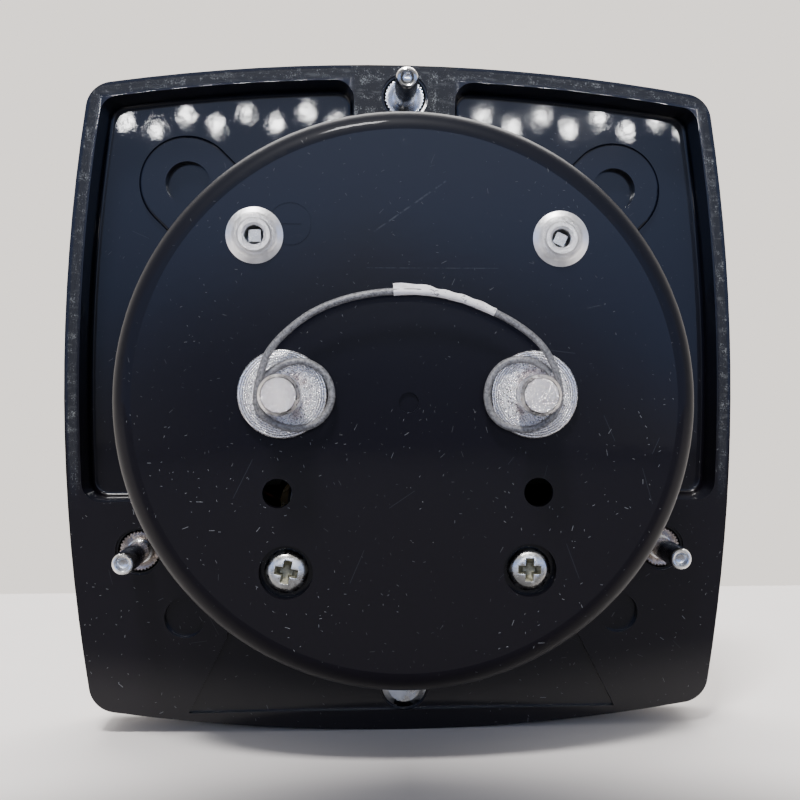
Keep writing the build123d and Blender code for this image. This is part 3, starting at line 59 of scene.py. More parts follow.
# ---------------------------------------------------------------- camera
CAMERA_PLACE = Vector((4.9, 231.9, 3.6)) * MM
VIEW_DIRECTION = Vector((-0.1128, -0.9931, -0.0312)).normalized()
VIEW_UP = Vector((-0.0003, -0.0314, 0.9995))

camera_data = bpy.data.cameras.new("camera")
camera_data.sensor_width = 36.0
camera_data.lens = 77.6
camera_data.shift_x = -0.2044
camera_data.shift_y = 0.0334
camera_data.clip_start = 0.01
camera = bpy.data.objects.new("camera", camera_data)
view_right = VIEW_DIRECTION.cross(VIEW_UP).normalized()
view_up = view_right.cross(VIEW_DIRECTION)
turn = Matrix((view_right, view_up, -VIEW_DIRECTION)).transposed().to_4x4()
camera.matrix_world = Matrix.Translation(CAMERA_PLACE) @ turn
bpy.context.scene.collection.objects.link(camera)
bpy.context.scene.camera = camera


# ---------------------------------------------------------------- shader helpers
# A Mix node keeps its colour and vector sockets at fixed places in its socket lists.
MIX_AMOUNT = 0
MIX_COLORS = (6, 7)
MIX_COLOR_RESULT = 2
MIX_VECTORS = (4, 5)
MIX_VECTOR_RESULT = 1
# A face whose true direction has at least this much of Y is flat and square to Y.
SQUARE_TO_Y = 0.9995


class Nodes:
    """A node tree and short ways to add to it; a value is a socket or a number."""

    def __init__(self, tree):
        self.tree = tree

    def feed(self, socket, value):
        """Link a socket to another one, or set it."""
        if isinstance(value, bpy.types.NodeSocket):
            self.tree.links.new(value, socket)
        else:
            socket.default_value = value

    def node(self, kind, inputs=None, **settings):
        """Add a node, with its settings and its inputs by name or number."""
        made = self.tree.nodes.new(kind)
        for key, value in settings.items():
            setattr(made, key, value)
        for key, value in (inputs or {}).items():
            self.feed(made.inputs[key], value)
        return made

    def math(self, operation, *values):
        """One Math node."""
        return self.node("ShaderNodeMath", dict(enumerate(values)), operation=operation).outputs[0]

    def chain(self, operation, first, *others):
        """A Math operation carried over several values from left to right."""
        for other in others:
            first = self.math(operation, first, other)
        return first

    def times(self, *values):
        return self.chain("MULTIPLY", *values)

    def plus(self, *values):
        return self.chain("ADD", *values)

    def greatest(self, *values):
        return self.chain("MAXIMUM", *values)

    def ramp(self, value, low, high, to_low=0.0, to_high=1.0):
        """Map low..high to to_low..to_high, smoothly and clamped."""
        return self.node("ShaderNodeMapRange",
                         {"Value": value, "From Min": low, "From Max": high,
                          "To Min": to_low, "To Max": to_high},
                         interpolation_type="SMOOTHSTEP").outputs["Result"]

    def mix_color(self, amount, first, second):
        """Blend two colours, each a socket or an RGB tuple."""
        made = self.node("ShaderNodeMix", {MIX_AMOUNT: amount}, data_type="RGBA")
        for place, color in zip(MIX_COLORS, (first, second)):
            self.feed(made.inputs[place], (*color, 1.0) if isinstance(color, tuple) else color)
        return made.outputs[MIX_COLOR_RESULT]


class Surface(Nodes):
    """A material built node by node around one Principled shader."""

    def __init__(self, name, color, metallic=0.0, roughness=0.4):
        self.material = bpy.data.materials.new(name)
        self.material.use_nodes = True
        super().__init__(self.material.node_tree)
        self.shader = self.tree.nodes["Principled BSDF"]
        self.shader.inputs["Base Color"].default_value = (*color, 1.0)
        self.shader.inputs["Metallic"].default_value = metallic
        self.shader.inputs["Roughness"].default_value = roughness
        self.place = self.node("ShaderNodeTexCoord").outputs["Object"]
        self.bump_end = None

    def noise(self, size_mm, detail=3.0, roughness=0.55, stretch=(1, 1, 1), distortion=0.0):
        """Noise whose features are about size_mm across."""
        place = self.node("ShaderNodeMapping", {"Vector": self.place, "Scale": stretch}).outputs[0]
        texture = self.node("ShaderNodeTexNoise", {
            "Vector": place, "Scale": 1 / (size_mm * MM), "Detail": detail, "Roughness": roughness,
            "Distortion": distortion})
        return texture.outputs["Fac"]

    def axis(self, name):
        """One coordinate of the place, X, Y or Z, in metres."""
        return self.node("ShaderNodeSeparateXYZ", {0: self.place}).outputs[name]

    def facing(self, name):
        """How far the surface faces along an axis of the shared frame, from -1 to 1."""
        normal = self.node("ShaderNodeTexCoord").outputs["Normal"]
        return self.node("ShaderNodeSeparateXYZ", {0: normal}).outputs[name]

    def distance_to(self, x, z):
        """Distance from the line along Y through (x, z), in metres."""
        across = self.math("SUBTRACT", self.axis("X"), x)
        up = self.math("SUBTRACT", self.axis("Z"), z)
        return self.math("SQRT", self.plus(self.times(across, across), self.times(up, up)))

    def dashes(self, cell_mm, length_mm, width_mm, share):
        """Short straight dashes at random angles on faces across Y, in a share of the cells."""
        flat = self.node("ShaderNodeCombineXYZ", {0: self.axis("X"), 1: self.axis("Z")}).outputs[0]
        scaled = self.node("ShaderNodeVectorMath", {0: flat, "Scale": 1 / (cell_mm * MM)},
                           operation="SCALE").outputs[0]
        cells = self.node("ShaderNodeTexVoronoi", {"Vector": scaled, "Scale": 1.0}, voronoi_dimensions="2D")
        offset = self.node("ShaderNodeVectorMath", {0: scaled, 1: cells.outputs["Position"]},
                           operation="SUBTRACT").outputs[0]
        to_angle, to_length, to_presence = self.node("ShaderNodeSeparateColor",
                                                     {0: cells.outputs["Color"]}).outputs
        turned = self.node("ShaderNodeVectorRotate",
                           {"Vector": offset, "Angle": self.times(to_angle, 2 * math.pi)},
                           rotation_type="Z_AXIS")
        along, across = self.node("ShaderNodeSeparateXYZ", {0: turned.outputs[0]}).outputs[:2]
        within = self.math("LESS_THAN", self.math("ABSOLUTE", along),
                           self.times(to_length, length_mm / cell_mm))
        half_width = width_mm / cell_mm
        core = self.ramp(self.math("ABSOLUTE", across), half_width, 0.4 * half_width)
        return self.times(within, core, self.math("LESS_THAN", to_presence, share))

    def line_mark(self, start, end, width_mm, strength):
        """One straight scratch from start to end, (x, z) in millimetres, broken up along its length."""
        length = math.hypot(end[0] - start[0], end[1] - start[1])
        way = ((end[0] - start[0]) / length, (end[1] - start[1]) / length)
        right = self.math("SUBTRACT", self.axis("X"), start[0] * MM)
        up = self.math("SUBTRACT", self.axis("Z"), start[1] * MM)
        along = self.plus(self.times(right, way[0]), self.times(up, way[1]))
        aside = self.math("ABSOLUTE", self.math("SUBTRACT", self.times(up, way[0]),
                                                self.times(right, way[1])))
        fade = 0.5
        inside = self.times(self.ramp(along, 0.0, fade * MM),
                            self.ramp(along, length * MM, (length - fade) * MM))
        broken = self.ramp(self.noise(1.1, 4.0, 0.7), 0.38, 0.58)
        return self.times(inside, broken, self.ramp(aside, width_mm * MM, 0.3 * width_mm * MM, 0.0, strength))

    def flatten_ends(self):
        """Shade faces square to Y by their true direction; returns 1 there and 0 on rounded edges."""
        geometry = self.node("ShaderNodeNewGeometry").outputs
        facing = self.node("ShaderNodeSeparateXYZ", {0: geometry["True Normal"]}).outputs["Y"]
        flat = self.math("GREATER_THAN", self.math("ABSOLUTE", facing), SQUARE_TO_Y)
        chosen = self.node("ShaderNodeMix", {MIX_AMOUNT: flat}, data_type="VECTOR")
        for place, normal in zip(MIX_VECTORS, (geometry["Normal"], geometry["True Normal"])):
            self.feed(chosen.inputs[place], normal)
        self.bump_end = chosen.outputs[MIX_VECTOR_RESULT]
        return flat

    def bump(self, height, strength, distance_mm):
        """Add a bump layer on top of the earlier ones."""
        inputs = {"Height": height, "Strength": strength, "Distance": distance_mm * MM}
        if self.bump_end is not None:
            inputs["Normal"] = self.bump_end
        self.bump_end = self.node("ShaderNodeBump", inputs).outputs[0]
        self.tree.links.new(self.bump_end, self.shader.inputs["Normal"])

    def drive(self, socket_name, value):
        """Link a varying value to one of the shader's inputs."""
        self.tree.links.new(value, self.shader.inputs[socket_name])


def worn(name, dark, light, metallic, rough_low, rough_high, grain_mm=0.25, bump_mm=0.01, patch_mm=4.0):
    """A general surface: patchy colour, uneven gloss and a fine grain."""
    made = Surface(name, light, metallic, rough_high)
    patches = made.ramp(made.noise(patch_mm, 5.0), 0.35, 0.68)
    grain = made.noise(grain_mm, 4.0)
    made.drive("Base Color", made.mix_color(patches, dark, light))
    uneven = made.plus(made.times(patches, 0.5), made.times(grain, 0.5))
    made.drive("Roughness", made.ramp(uneven, 0.3, 0.7, rough_low, rough_high))
    made.bump(grain, 0.35, bump_mm)
    return made


# ---------------------------------------------------------------- case plastic
BOW_RADIUS = 247.0 * MM
CASE_HALF = 44.45 * MM
RIM_WIDTH = 1.9 * MM
RIB_HALF_WIDTH = 6.9 * MM
RIB_FOOT_Z = 35.0 * MM
BARREL_END_Y = 25.4 * MM
BARREL_FILLET = 2.4 * MM
POST_END_Y = 35.4 * MM


def rim_and_rib(made):
    """1 on the upper part of the rim and rib that rest against a panel, 0 elsewhere."""
    height = made.axis("Z")
    across = made.math("ABSOLUTE", made.axis("X"))
    level = made.axis("Y")
    bow = 1 / (2 * BOW_RADIUS)
    to_side = made.plus(across, made.times(height, height, bow))
    to_top = made.plus(made.math("ABSOLUTE", height), made.times(across, across, bow))
    outline = made.greatest(to_side, to_top)
    rim = made.times(made.ramp(outline, CASE_HALF - RIM_WIDTH, CASE_HALF - 0.62 * RIM_WIDTH),
                     made.ramp(outline, CASE_HALF - 0.10 * RIM_WIDTH, CASE_HALF - 0.34 * RIM_WIDTH))
    rib = made.times(made.ramp(across, RIB_HALF_WIDTH + 0.5 * MM, RIB_HALF_WIDTH - 0.5 * MM),
                     made.ramp(height, RIB_FOOT_Z, RIB_FOOT_Z + 1.5 * MM))
    at_rim_level = made.times(made.ramp(level, -0.5 * MM, -0.1 * MM), made.ramp(level, 0.5 * MM, 0.2 * MM))
    upper = made.ramp(height, -16 * MM, -6 * MM)
    return made.times(made.greatest(rim, rib), upper, at_rim_level)


def case_plastic():
    """Glossy blue-black moulding: a scuffed rim, dust, fine scratches, a slight orange peel and a painted
    bluish reflection towards the top.
    """
    made = Surface("case_plastic", (0.006, 0.007, 0.011), 0.0, 0.30)
    made.shader.inputs["Specular IOR Level"].default_value = 0.10
    made.shader.inputs["Coat IOR"].default_value = 1.48
    flat = made.flatten_ends()
    height = made.axis("Z")

    seat = rim_and_rib(made)
    coarse = made.noise(1.5, 6.0, 0.72)
    specks = made.noise(0.22, 5.0, 0.75)
    streaks = made.noise(0.9, 4.0, 0.7, stretch=(0.25, 1, 1))
    scuff = made.times(seat, made.ramp(made.times(coarse, specks), 0.275, 0.37))
    scuff = made.greatest(scuff, made.times(seat, made.ramp(streaks, 0.54, 0.68, 0.0, 0.26)))

    facing_rear = made.ramp(made.facing("Y"), 0.85, 0.97)
    fine = made.dashes(0.95, 0.17, 0.032, 0.22)
    long = made.dashes(2.9, 0.42, 0.035, 0.20)
    patchy = made.ramp(made.noise(11.0, 2.0), 0.42, 0.60, 0.15, 0.75)
    more_below = made.ramp(height, 22 * MM, -5 * MM, 0.35, 1.0)
    dust = made.times(made.greatest(fine, long), facing_rear, patchy, more_below)
    hairs = made.times(made.dashes(9.0, 2.6, 0.03, 0.30), facing_rear)
    marks = made.greatest(made.line_mark((5.2, 16.0), (-10.8, 16.1), 0.05, 0.28),
                          made.line_mark((4.3, 20.2), (-4.5, 26.5), 0.14, 0.26))
    scratches = made.greatest(made.times(hairs, 0.25), made.times(marks, facing_rear))

    # Painted reflection: the base colour turns lighter and bluer towards the top; the mixes after it add the
    # scuffed rim, dust and scratches.
    painted_reflection_and_wear = made.mix_color(made.ramp(height, -20 * MM, 30 * MM),
                          (0.0032, 0.0025, 0.0042), (0.0032, 0.0042, 0.0088))
    painted_reflection_and_wear = made.mix_color(made.times(seat, 0.35), painted_reflection_and_wear, (0.010, 0.011, 0.012))
    painted_reflection_and_wear = made.mix_color(made.times(scuff, 0.85), painted_reflection_and_wear, (0.19, 0.20, 0.20))
    painted_reflection_and_wear = made.mix_color(made.times(dust, 0.75), painted_reflection_and_wear, (0.30, 0.31, 0.32))
    painted_reflection_and_wear = made.mix_color(scratches, painted_reflection_and_wear, (0.085, 0.095, 0.11))
    made.drive("Base Color", painted_reflection_and_wear)

    worn_share = made.greatest(seat, dust, scratches)
    edge_band = made.times(made.ramp(made.axis("Y"), BARREL_END_Y - BARREL_FILLET - 0.2 * MM,
                                     BARREL_END_Y - BARREL_FILLET + 0.5 * MM),
                           made.math("SUBTRACT", 1.0, flat))
    made.drive("Coat Weight", made.ramp(edge_band, 0.0, 1.0, 0.48, 0.12))
    made.drive("Roughness", made.ramp(made.greatest(worn_share, edge_band), 0.0, 1.0, 0.28, 0.48))
    haze = made.ramp(made.noise(13.0, 4.0, 0.6), 0.42, 0.74, 0.012, 0.035)
    made.drive("Coat Roughness", made.plus(haze, made.times(worn_share, 0.35)))

    made.bump(made.noise(2.2, 2.0, 0.5), 0.2, 0.02)
    made.bump(made.noise(0.14, 3.0, 0.6), 0.12, 0.004)
    made.bump(made.times(made.plus(coarse, specks), seat), 0.6, 0.05)
    made.bump(made.plus(dust, made.times(scratches, -0.6)), 0.4, 0.02)
    made.drive("Coat Normal", made.bump_end)
    return made.material


# ---------------------------------------------------------------- metals and others
TERMINALS = ((14.92, 1.0), (-14.92, 1.0))
GROOVE_PITCH = 0.27


def turned_aluminium():
    """Aluminium faced on a lathe: grooves round the rim darkened by a painted reflection, pitted, and
    darkened towards the post by a painted shadow of the post.
    """
    made = Surface("turned_aluminium", (0.84, 0.83, 0.84), 1.0, 0.2)
    radius = made.math("MINIMUM", *[made.distance_to(x * MM, z * MM) for x, z in TERMINALS])
    speckle = made.noise(0.17, 4.0, 0.75, distortion=0.5)
    chatter = made.times(speckle, made.ramp(radius, 4.9 * MM, 4.1 * MM, 0.25, 1.0))
    made.bump(chatter, 1.0, 0.13)
    made.bump(made.noise(0.5, 4.0), 0.3, 0.03)
    wander = made.times(made.noise(1.6, 2.0), 0.35 * MM)
    waves = made.math("SINE", made.times(made.plus(radius, wander), 2 * math.pi / (GROOVE_PITCH * MM)))
    outer = made.ramp(radius, 3.5 * MM, 4.4 * MM)
    # Painted reflection: dark lines over the grooves stand in for the dark front that the flat rings mirror.
    grooves = made.times(outer, made.ramp(waves, 0.1, -0.7, 0.0, 0.75))
    inward = made.math("SUBTRACT", 1.0, made.times(outer, 0.55))
    pits = made.times(made.ramp(speckle, 0.50, 0.41), inward)
    # Painted shadow: a brownish-red darkening round the post stands in for the post's shadow seen in the
    # face.
    painted_post_shadow = made.times(made.ramp(radius, 3.9 * MM, 2.7 * MM), made.ramp(made.noise(2.6, 3.0), 0.44, 0.60))
    tone = made.mix_color(made.greatest(grooves, pits), (0.94, 0.93, 0.94), (0.15, 0.145, 0.145))
    made.drive("Base Color", made.mix_color(made.times(painted_post_shadow, 0.6), tone, (0.20, 0.13, 0.12)))
    made.drive("Roughness", made.ramp(speckle, 0.35, 0.65, 0.16, 0.34))
    return made.material


def satin_metal(name, color, dark_share=0.6, rough=(0.22, 0.42), grain_mm=0.22, bump_mm=0.02, patch_mm=1.8):
    """Nickel, aluminium or steel with stains, a fine pitted grain and uneven gloss."""
    made = worn(name, tuple(dark_share * c for c in color), color, 1.0, *rough, grain_mm, bump_mm, patch_mm)
    made.bump(made.ramp(made.noise(0.4, 5.0, 0.7), 0.55, 0.75), 0.25, 0.03)
    return made.material


def post_metal():
    """Smooth satin aluminium with a crushed, speckled end face."""
    made = Surface("post_metal", (0.78, 0.77, 0.78), 1.0, 0.33)
    end = made.ramp(made.axis("Y"), POST_END_Y - 0.2 * MM, POST_END_Y - 0.05 * MM)
    crushed = made.noise(0.20, 4.0, 0.7, distortion=0.8)
    lines = made.noise(0.3, 3.0, 0.5, stretch=(1, 0.12, 1))
    made.bump(made.times(crushed, end), 1.0, 0.20)
    made.bump(lines, 0.18, 0.02)
    tone = made.plus(made.times(made.noise(1.6, 4.0), 0.6), made.times(lines, 0.4))
    skin = made.mix_color(made.ramp(tone, 0.35, 0.65), (0.74, 0.72, 0.73), (0.92, 0.91, 0.92))
    pits = made.times(end, made.ramp(crushed, 0.47, 0.38), 0.75)
    made.drive("Base Color", made.mix_color(pits, skin, (0.24, 0.21, 0.21)))
    gloss = made.math("SUBTRACT", made.noise(0.7, 4.0), made.times(end, 0.2))
    made.drive("Roughness", made.ramp(gloss, 0.30, 0.75, 0.18, 0.42))
    return made.material


def rivet_metal():
    """Aluminium with a clean conical flange and a rough, torn rolled ring."""
    made = Surface("rivet_metal", (0.80, 0.80, 0.82), 1.0, 0.35)
    ring = made.ramp(made.axis("Y"), BARREL_END_Y + 0.55 * MM, BARREL_END_Y + 0.95 * MM)
    torn = made.noise(0.5, 6.0, 0.75, distortion=1.2)
    made.bump(made.times(torn, ring), 1.0, 0.22)
    made.bump(made.noise(0.14, 4.0), 0.3, 0.015)
    tone = made.ramp(made.noise(1.2, 5.0, 0.6), 0.3, 0.7)
    made.drive("Base Color", made.mix_color(tone, (0.80, 0.80, 0.81), (0.94, 0.94, 0.95)))
    made.drive("Roughness", made.ramp(made.noise(0.3, 4.0), 0.3, 0.7, 0.28, 0.5))
    return made.material


def wire_skin():
    """Dull grey varnished wire with dark nicks and lengthwise marks."""
    made = Surface("wire_skin", (0.12, 0.12, 0.122), 0.25, 0.45)
    marks = made.noise(0.30, 6.0, 0.75)
    dark = made.ramp(made.noise(1.1, 5.0, 0.75), 0.60, 0.72)
    tone = made.mix_color(made.ramp(marks, 0.35, 0.66), (0.075, 0.075, 0.078), (0.27, 0.27, 0.275))
    made.drive("Base Color", made.mix_color(made.times(dark, 0.7), tone, (0.02, 0.02, 0.022)))
    made.drive("Roughness", made.ramp(marks, 0.3, 0.7, 0.34, 0.6))
    made.bump(marks, 0.7, 0.06)
    return made.material


def tape_paper():
    """White paper tape, a little grubby, with broken dark ink dashes along its thin end."""
    made = Surface("tape_paper", (0.80, 0.78, 0.77), 0.0, 0.7)
    fibres = made.noise(0.35, 5.0, 0.65)
    grime = made.ramp(made.noise(1.4, 4.0), 0.5, 0.75)
    ink = made.ramp(made.noise(0.55, 4.0, 0.7, stretch=(0.8, 1, 1.6)), 0.585, 0.63)
    thin_end = made.ramp(made.axis("X"), -1.6 * MM, -2.4 * MM)
    tone = made.mix_color(grime, (0.82, 0.80, 0.79), (0.62, 0.58, 0.56))
    made.drive("Base Color", made.mix_color(made.times(ink, thin_end, 0.85), tone, (0.05, 0.05, 0.055)))
    made.drive("Roughness", made.ramp(fibres, 0.3, 0.7, 0.6, 0.85))
    made.bump(fibres, 0.45, 0.04)
    return made.material


def clear_pane():
    """Slightly scuffed clear acrylic."""
    made = Surface("clear_pane", (0.96, 0.98, 0.98), 0.0, 0.03)
    made.shader.inputs["Transmission Weight"].default_value = 1.0
    made.shader.inputs["IOR"].default_value = 1.49
    made.drive("Roughness", made.ramp(made.noise(6.0, 5.0, 0.7), 0.55, 0.8, 0.015, 0.10))
    made.bump(made.dashes(7.0, 2.6, 0.03, 0.3), 0.15, 0.01)
    return made.material


def dial_card():
    """Off-white painted dial plate, faintly yellowed and mottled."""
    return worn("dial_card", (0.74, 0.71, 0.62), (0.84, 0.82, 0.75), 0.0, 0.5, 0.68,
                0.12, 0.004, 12.0).material


WINDING_PITCH = 0.12


def windings():
    """Enamelled copper wire laid round the former in fine turns."""
    made = Surface("windings", (0.55, 0.20, 0.07), 0.85, 0.3)
    turns = made.math("SINE", made.times(made.axis("Z"), 2 * math.pi / (WINDING_PITCH * MM)))
    made.bump(turns, 0.6, 0.03)
    made.drive("Base Color", made.mix_color(made.ramp(made.noise(1.5, 4.0), 0.3, 0.7),
                                            (0.34, 0.10, 0.03), (0.62, 0.25, 0.09)))
    made.drive("Roughness", made.ramp(made.noise(0.4, 3.0), 0.3, 0.7, 0.22, 0.4))
    return made.material


MATERIALS = {
    "case": case_plastic(),
    "mask": worn("mask_paint", (0.012, 0.012, 0.014), (0.022, 0.022, 0.026), 0.0, 0.42, 0.6,
                 0.18, 0.02, 6.0).material,
    "pane": clear_pane(),
    "dial": dial_card(),
    "nickel": satin_metal("nickel", (0.66, 0.65, 0.61)),
    "steel": satin_metal("soft_iron", (0.36, 0.355, 0.35), 0.5, (0.35, 0.6), 0.4, 0.04, 3.0),
    "alloy": satin_metal("aluminium", (0.78, 0.78, 0.79), 0.75, (0.28, 0.45)),
    "magnet": satin_metal("magnet_alloy", (0.20, 0.20, 0.21), 0.6, (0.45, 0.7), 0.5, 0.08, 2.5),
    "brass": satin_metal("brass", (0.72, 0.50, 0.22), 0.6, (0.22, 0.42), 0.3, 0.02, 3.0),
    "bronze": satin_metal("spring_bronze", (0.66, 0.36, 0.18), 0.7, (0.2, 0.35), 0.2, 0.01, 1.0),
    "copper": windings(),
    "jewel": worn("jewel", (0.30, 0.01, 0.04), (0.55, 0.03, 0.10), 0.0, 0.03, 0.1, 0.5, 0.002, 1.0).material,
    "board": worn("board_laminate", (0.16, 0.075, 0.03), (0.26, 0.13, 0.055), 0.0, 0.35, 0.55,
                  0.3, 0.03, 3.0).material,
    "insulator": worn("insulator", (0.34, 0.31, 0.26), (0.46, 0.43, 0.37), 0.0, 0.4, 0.6,
                      0.2, 0.02, 3.0).material,
    "resistor": worn("resistor_body", (0.26, 0.13, 0.06), (0.38, 0.20, 0.09), 0.0, 0.3, 0.5,
                     0.3, 0.02, 2.0).material,
    "lead": worn("lead_sleeve", (0.20, 0.012, 0.010), (0.34, 0.03, 0.022), 0.0, 0.35, 0.55,
                 0.3, 0.02, 2.0).material,
    "wire": wire_skin(),
    "paper": tape_paper(),
}
MATERIALS["cover"] = MATERIALS["case"]
disc_metal = turned_aluminium()
post_skin = post_metal()
rivet_skin = rivet_metal()
OWN_MATERIALS = {
    "terminal_post_left": post_skin, "terminal_post_right": post_skin,
    "rivet_left": rivet_skin, "rivet_right": rivet_skin,
}

slot_of = {entry["node"]: entry["material_slot"] for entry in frame["record"]["subparts"]}
for name, node_object in frame["nodes"].items():
    chosen = OWN_MATERIALS.get(name) or MATERIALS[slot_of[name]]
    for slot in node_object.material_slots:
        slot.material = chosen


# ---------------------------------------------------------------- mesh helpers
def new_piece(name, build, material, body="case", smooth_angle=35.0):
    """Make an object from a bmesh-filling function, shade it smooth by angle and ride it."""
    mesh = bpy.data.meshes.new(name)
    shape = bmesh.new()
    build(shape)
    bmesh.ops.recalc_face_normals(shape, faces=shape.faces)
    shape.to_mesh(mesh)
    shape.free()
    mesh.materials.append(material)
    piece = bpy.data.objects.new(name, mesh)
    bpy.context.scene.collection.objects.link(piece)
    mesh.shade_smooth()
    mesh.set_sharp_from_angle(angle=math.radians(smooth_angle))
    if body:
        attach(piece, body)
    return piece


def lathe(shape, profile, centre, steps=64, ripple=None):
    """Turn (radius, y) points, in millimetres, about the line along Y through centre.

    A point at radius 0 closes that end. ripple(angle, radius, y) changes the radius round the ring.
    """
    rings = []
    for radius, y in profile:
        if radius == 0:
            rings.append([shape.verts.new((centre[0] * MM, y * MM, centre[1] * MM))])
            continue
        ring = []
        for step in range(steps):
            angle = 2 * math.pi * step / steps
            reach = radius + (ripple(angle, radius, y) if ripple else 0.0)
            ring.append(shape.verts.new(((centre[0] + reach * math.cos(angle)) * MM, y * MM,
                                         (centre[1] + reach * math.sin(angle)) * MM)))
        rings.append(ring)
    for near, far in zip(rings, rings[1:]):
        for step in range(steps):
            corners = [near[step % len(near)], near[(step + 1) % len(near)],
                       far[(step + 1) % len(far)], far[step % len(far)]]
            shape.faces.new(list(dict.fromkeys(corners)))


def weld(piece):
    """Join vertices that lie on each other, so that a lathed ring closes."""
    shape = bmesh.new()
    shape.from_mesh(piece.data)
    bmesh.ops.remove_doubles(shape, verts=shape.verts, dist=0.001 * MM)
    shape.to_mesh(piece.data)
    shape.free()


def from_axis(point, centre):
    """Distance, in metres, of a point from the line along Y through centre, given in millimetres."""
    return (Vector((point.x, point.z)) - Vector(centre) * MM).length


# ---------------------------------------------------------------- panel studs
STUD_CIRCLE = 40.3
COLLAR_RADIUS = 2.8
COLLAR_TEETH = 34
TOOTH_DEPTH = 0.22
KNURLED_BAND = 0.4


def knurl(angle, radius, _):
    """Teeth round the collar's rim."""
    if radius < COLLAR_RADIUS - KNURLED_BAND:
        return 0.0
    return -TOOTH_DEPTH / 2 * (1 - math.cos(COLLAR_TEETH * angle))


def stud_shape(centre):
    """A knurled collar, then a smooth stud with a rolled, cupped end."""
    def build(shape):
        collar = [(0, -6.0), (2.45, -6.0), (COLLAR_RADIUS, -5.7), (COLLAR_RADIUS, -0.85), (2.6, -0.62),
                  (2.2, -0.62), (1.62, -0.78)]
        stud = [(1.42, -0.7), (1.42, 14.7), (1.36, 15.1), (1.22, 15.33), (1.05, 15.4), (0.88, 15.34),
                (0.78, 15.1), (0.55, 14.85), (0, 14.75)]
        lathe(shape, collar + stud, centre, steps=6 * COLLAR_TEETH, ripple=knurl)
    return build


bright_stud = satin_metal("bright_plating", (0.74, 0.74, 0.73), 0.55, (0.10, 0.26), 0.3, 0.03, 2.2)
tarnished = satin_metal("tarnished_plating", (0.56, 0.47, 0.40), 0.55, (0.22, 0.42), 0.3, 0.03, 1.6)
for label, angle, skin in (("top", 90, bright_stud), ("left", 210, tarnished), ("right", 330, tarnished)):
    centre = (STUD_CIRCLE * math.cos(math.radians(angle)), STUD_CIRCLE * math.sin(math.radians(angle)))
    stud = new_piece(f"panel_stud_{label}", stud_shape(centre), bright_stud)
    stud.data.materials.append(skin)
    for face in stud.data.polygons:
        if from_axis(face.center, centre) > 1.6 * MM:
            face.material_index = 1
    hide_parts("mounting_studs")

# ---------------------------------------------------------------- turned discs under the posts
DISC_RADIUS = 5.25
DISC_BACK_Y = 25.4
DISC_FACE_Y = 26.6
DISC_BORE = 2.25
GROOVE_DEPTH = 0.05


def disc_shape(centre):
    """A disc whose face carries the lathe's fine concentric grooves."""
    def build(shape):
        profile = [(DISC_BORE, DISC_BACK_Y), (DISC_RADIUS - 0.12, DISC_BACK_Y),
                   (DISC_RADIUS, DISC_BACK_Y + 0.12), (DISC_RADIUS, DISC_FACE_Y - 0.2),
                   (DISC_RADIUS - 0.06, DISC_FACE_Y - 0.09)]
        radius = DISC_RADIUS - 0.18
        while radius > DISC_BORE + GROOVE_PITCH:
            profile += [(radius, DISC_FACE_Y - 0.01), (radius - 0.35 * GROOVE_PITCH, DISC_FACE_Y),
                        (radius - 0.68 * GROOVE_PITCH, DISC_FACE_Y - GROOVE_DEPTH)]
            radius -= GROOVE_PITCH
        profile += [(DISC_BORE, DISC_FACE_Y - 0.01), (DISC_BORE, DISC_BACK_Y)]
        lathe(shape, profile, centre, steps=128, ripple=tool_wander)
    return build


def tool_wander(angle, radius, y):
    """The grooves drift a little round the disc, as a slack tool leaves them."""
    if y < DISC_FACE_Y - 0.08 or radius < 2.4:
        return 0.0
    return 0.03 * math.sin(3 * angle + 2.1 * radius) + 0.015 * math.sin(11 * angle - 5 * radius)


for side, centre in zip(("right", "left"), TERMINALS):
    disc = new_piece(f"turned_disc_{side}", disc_shape(centre), disc_metal, smooth_angle=14)
    weld(disc)
    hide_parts(f"terminal_disc_{side}")

# ---------------------------------------------------------------- Phillips screws
SCREW_SPOT = (14.57, -20.24)
HEAD_SEAT_Y = 23.0
# (y, half length, half width) of the cross at the head's face and near its blunt point
CROSS_SECTIONS = ((HEAD_SEAT_Y + 2.6, 1.85, 0.62), (HEAD_SEAT_Y + 0.75, 0.75, 0.30))
BOX_FACES = ((0, 1, 2, 3), (7, 6, 5, 4), (0, 4, 5, 1), (1, 5, 6, 2), (2, 6, 7, 3), (3, 7, 4, 0))


def cross_cutter(centre, tilt):
    """A tapered Phillips cross, wide at the head's face and meeting in a blunt point."""
    def build(shape):
        for arm in (0, 90):
            turn_arm = math.radians(tilt + arm)
            corners = []
            for y, half_length, half_width in CROSS_SECTIONS:
                for a, b in ((-half_length, -half_width), (half_length, -half_width),
                             (half_length, half_width), (-half_length, half_width)):
                    x = centre[0] + a * math.cos(turn_arm) - b * math.sin(turn_arm)
                    z = centre[1] + a * math.sin(turn_arm) + b * math.cos(turn_arm)
                    corners.append(shape.verts.new((x * MM, y * MM, z * MM)))
            for quad in BOX_FACES:
                shape.faces.new([corners[index] for index in quad])
    return build


def cut_by(piece, cutter):
    """Subtract one mesh from another, round the edges and keep the result as the piece's mesh."""
    boolean = piece.modifiers.new("cut", "BOOLEAN")
    boolean.operation = "DIFFERENCE"
    boolean.solver = "EXACT"
    boolean.use_self = True
    boolean.object = cutter
    bevel = piece.modifiers.new("worn_edges", "BEVEL")
    bevel.width = 0.07 * MM
    bevel.segments = 2
    bevel.limit_method = "ANGLE"
    bevel.angle_limit = math.radians(30)
    depsgraph = bpy.context.evaluated_depsgraph_get()
    result = bpy.data.meshes.new_from_object(piece.evaluated_get(depsgraph))
    piece.modifiers.clear()
    piece.data = result
    result.set_sharp_from_angle(angle=math.radians(35))
    bpy.data.objects.remove(cutter)


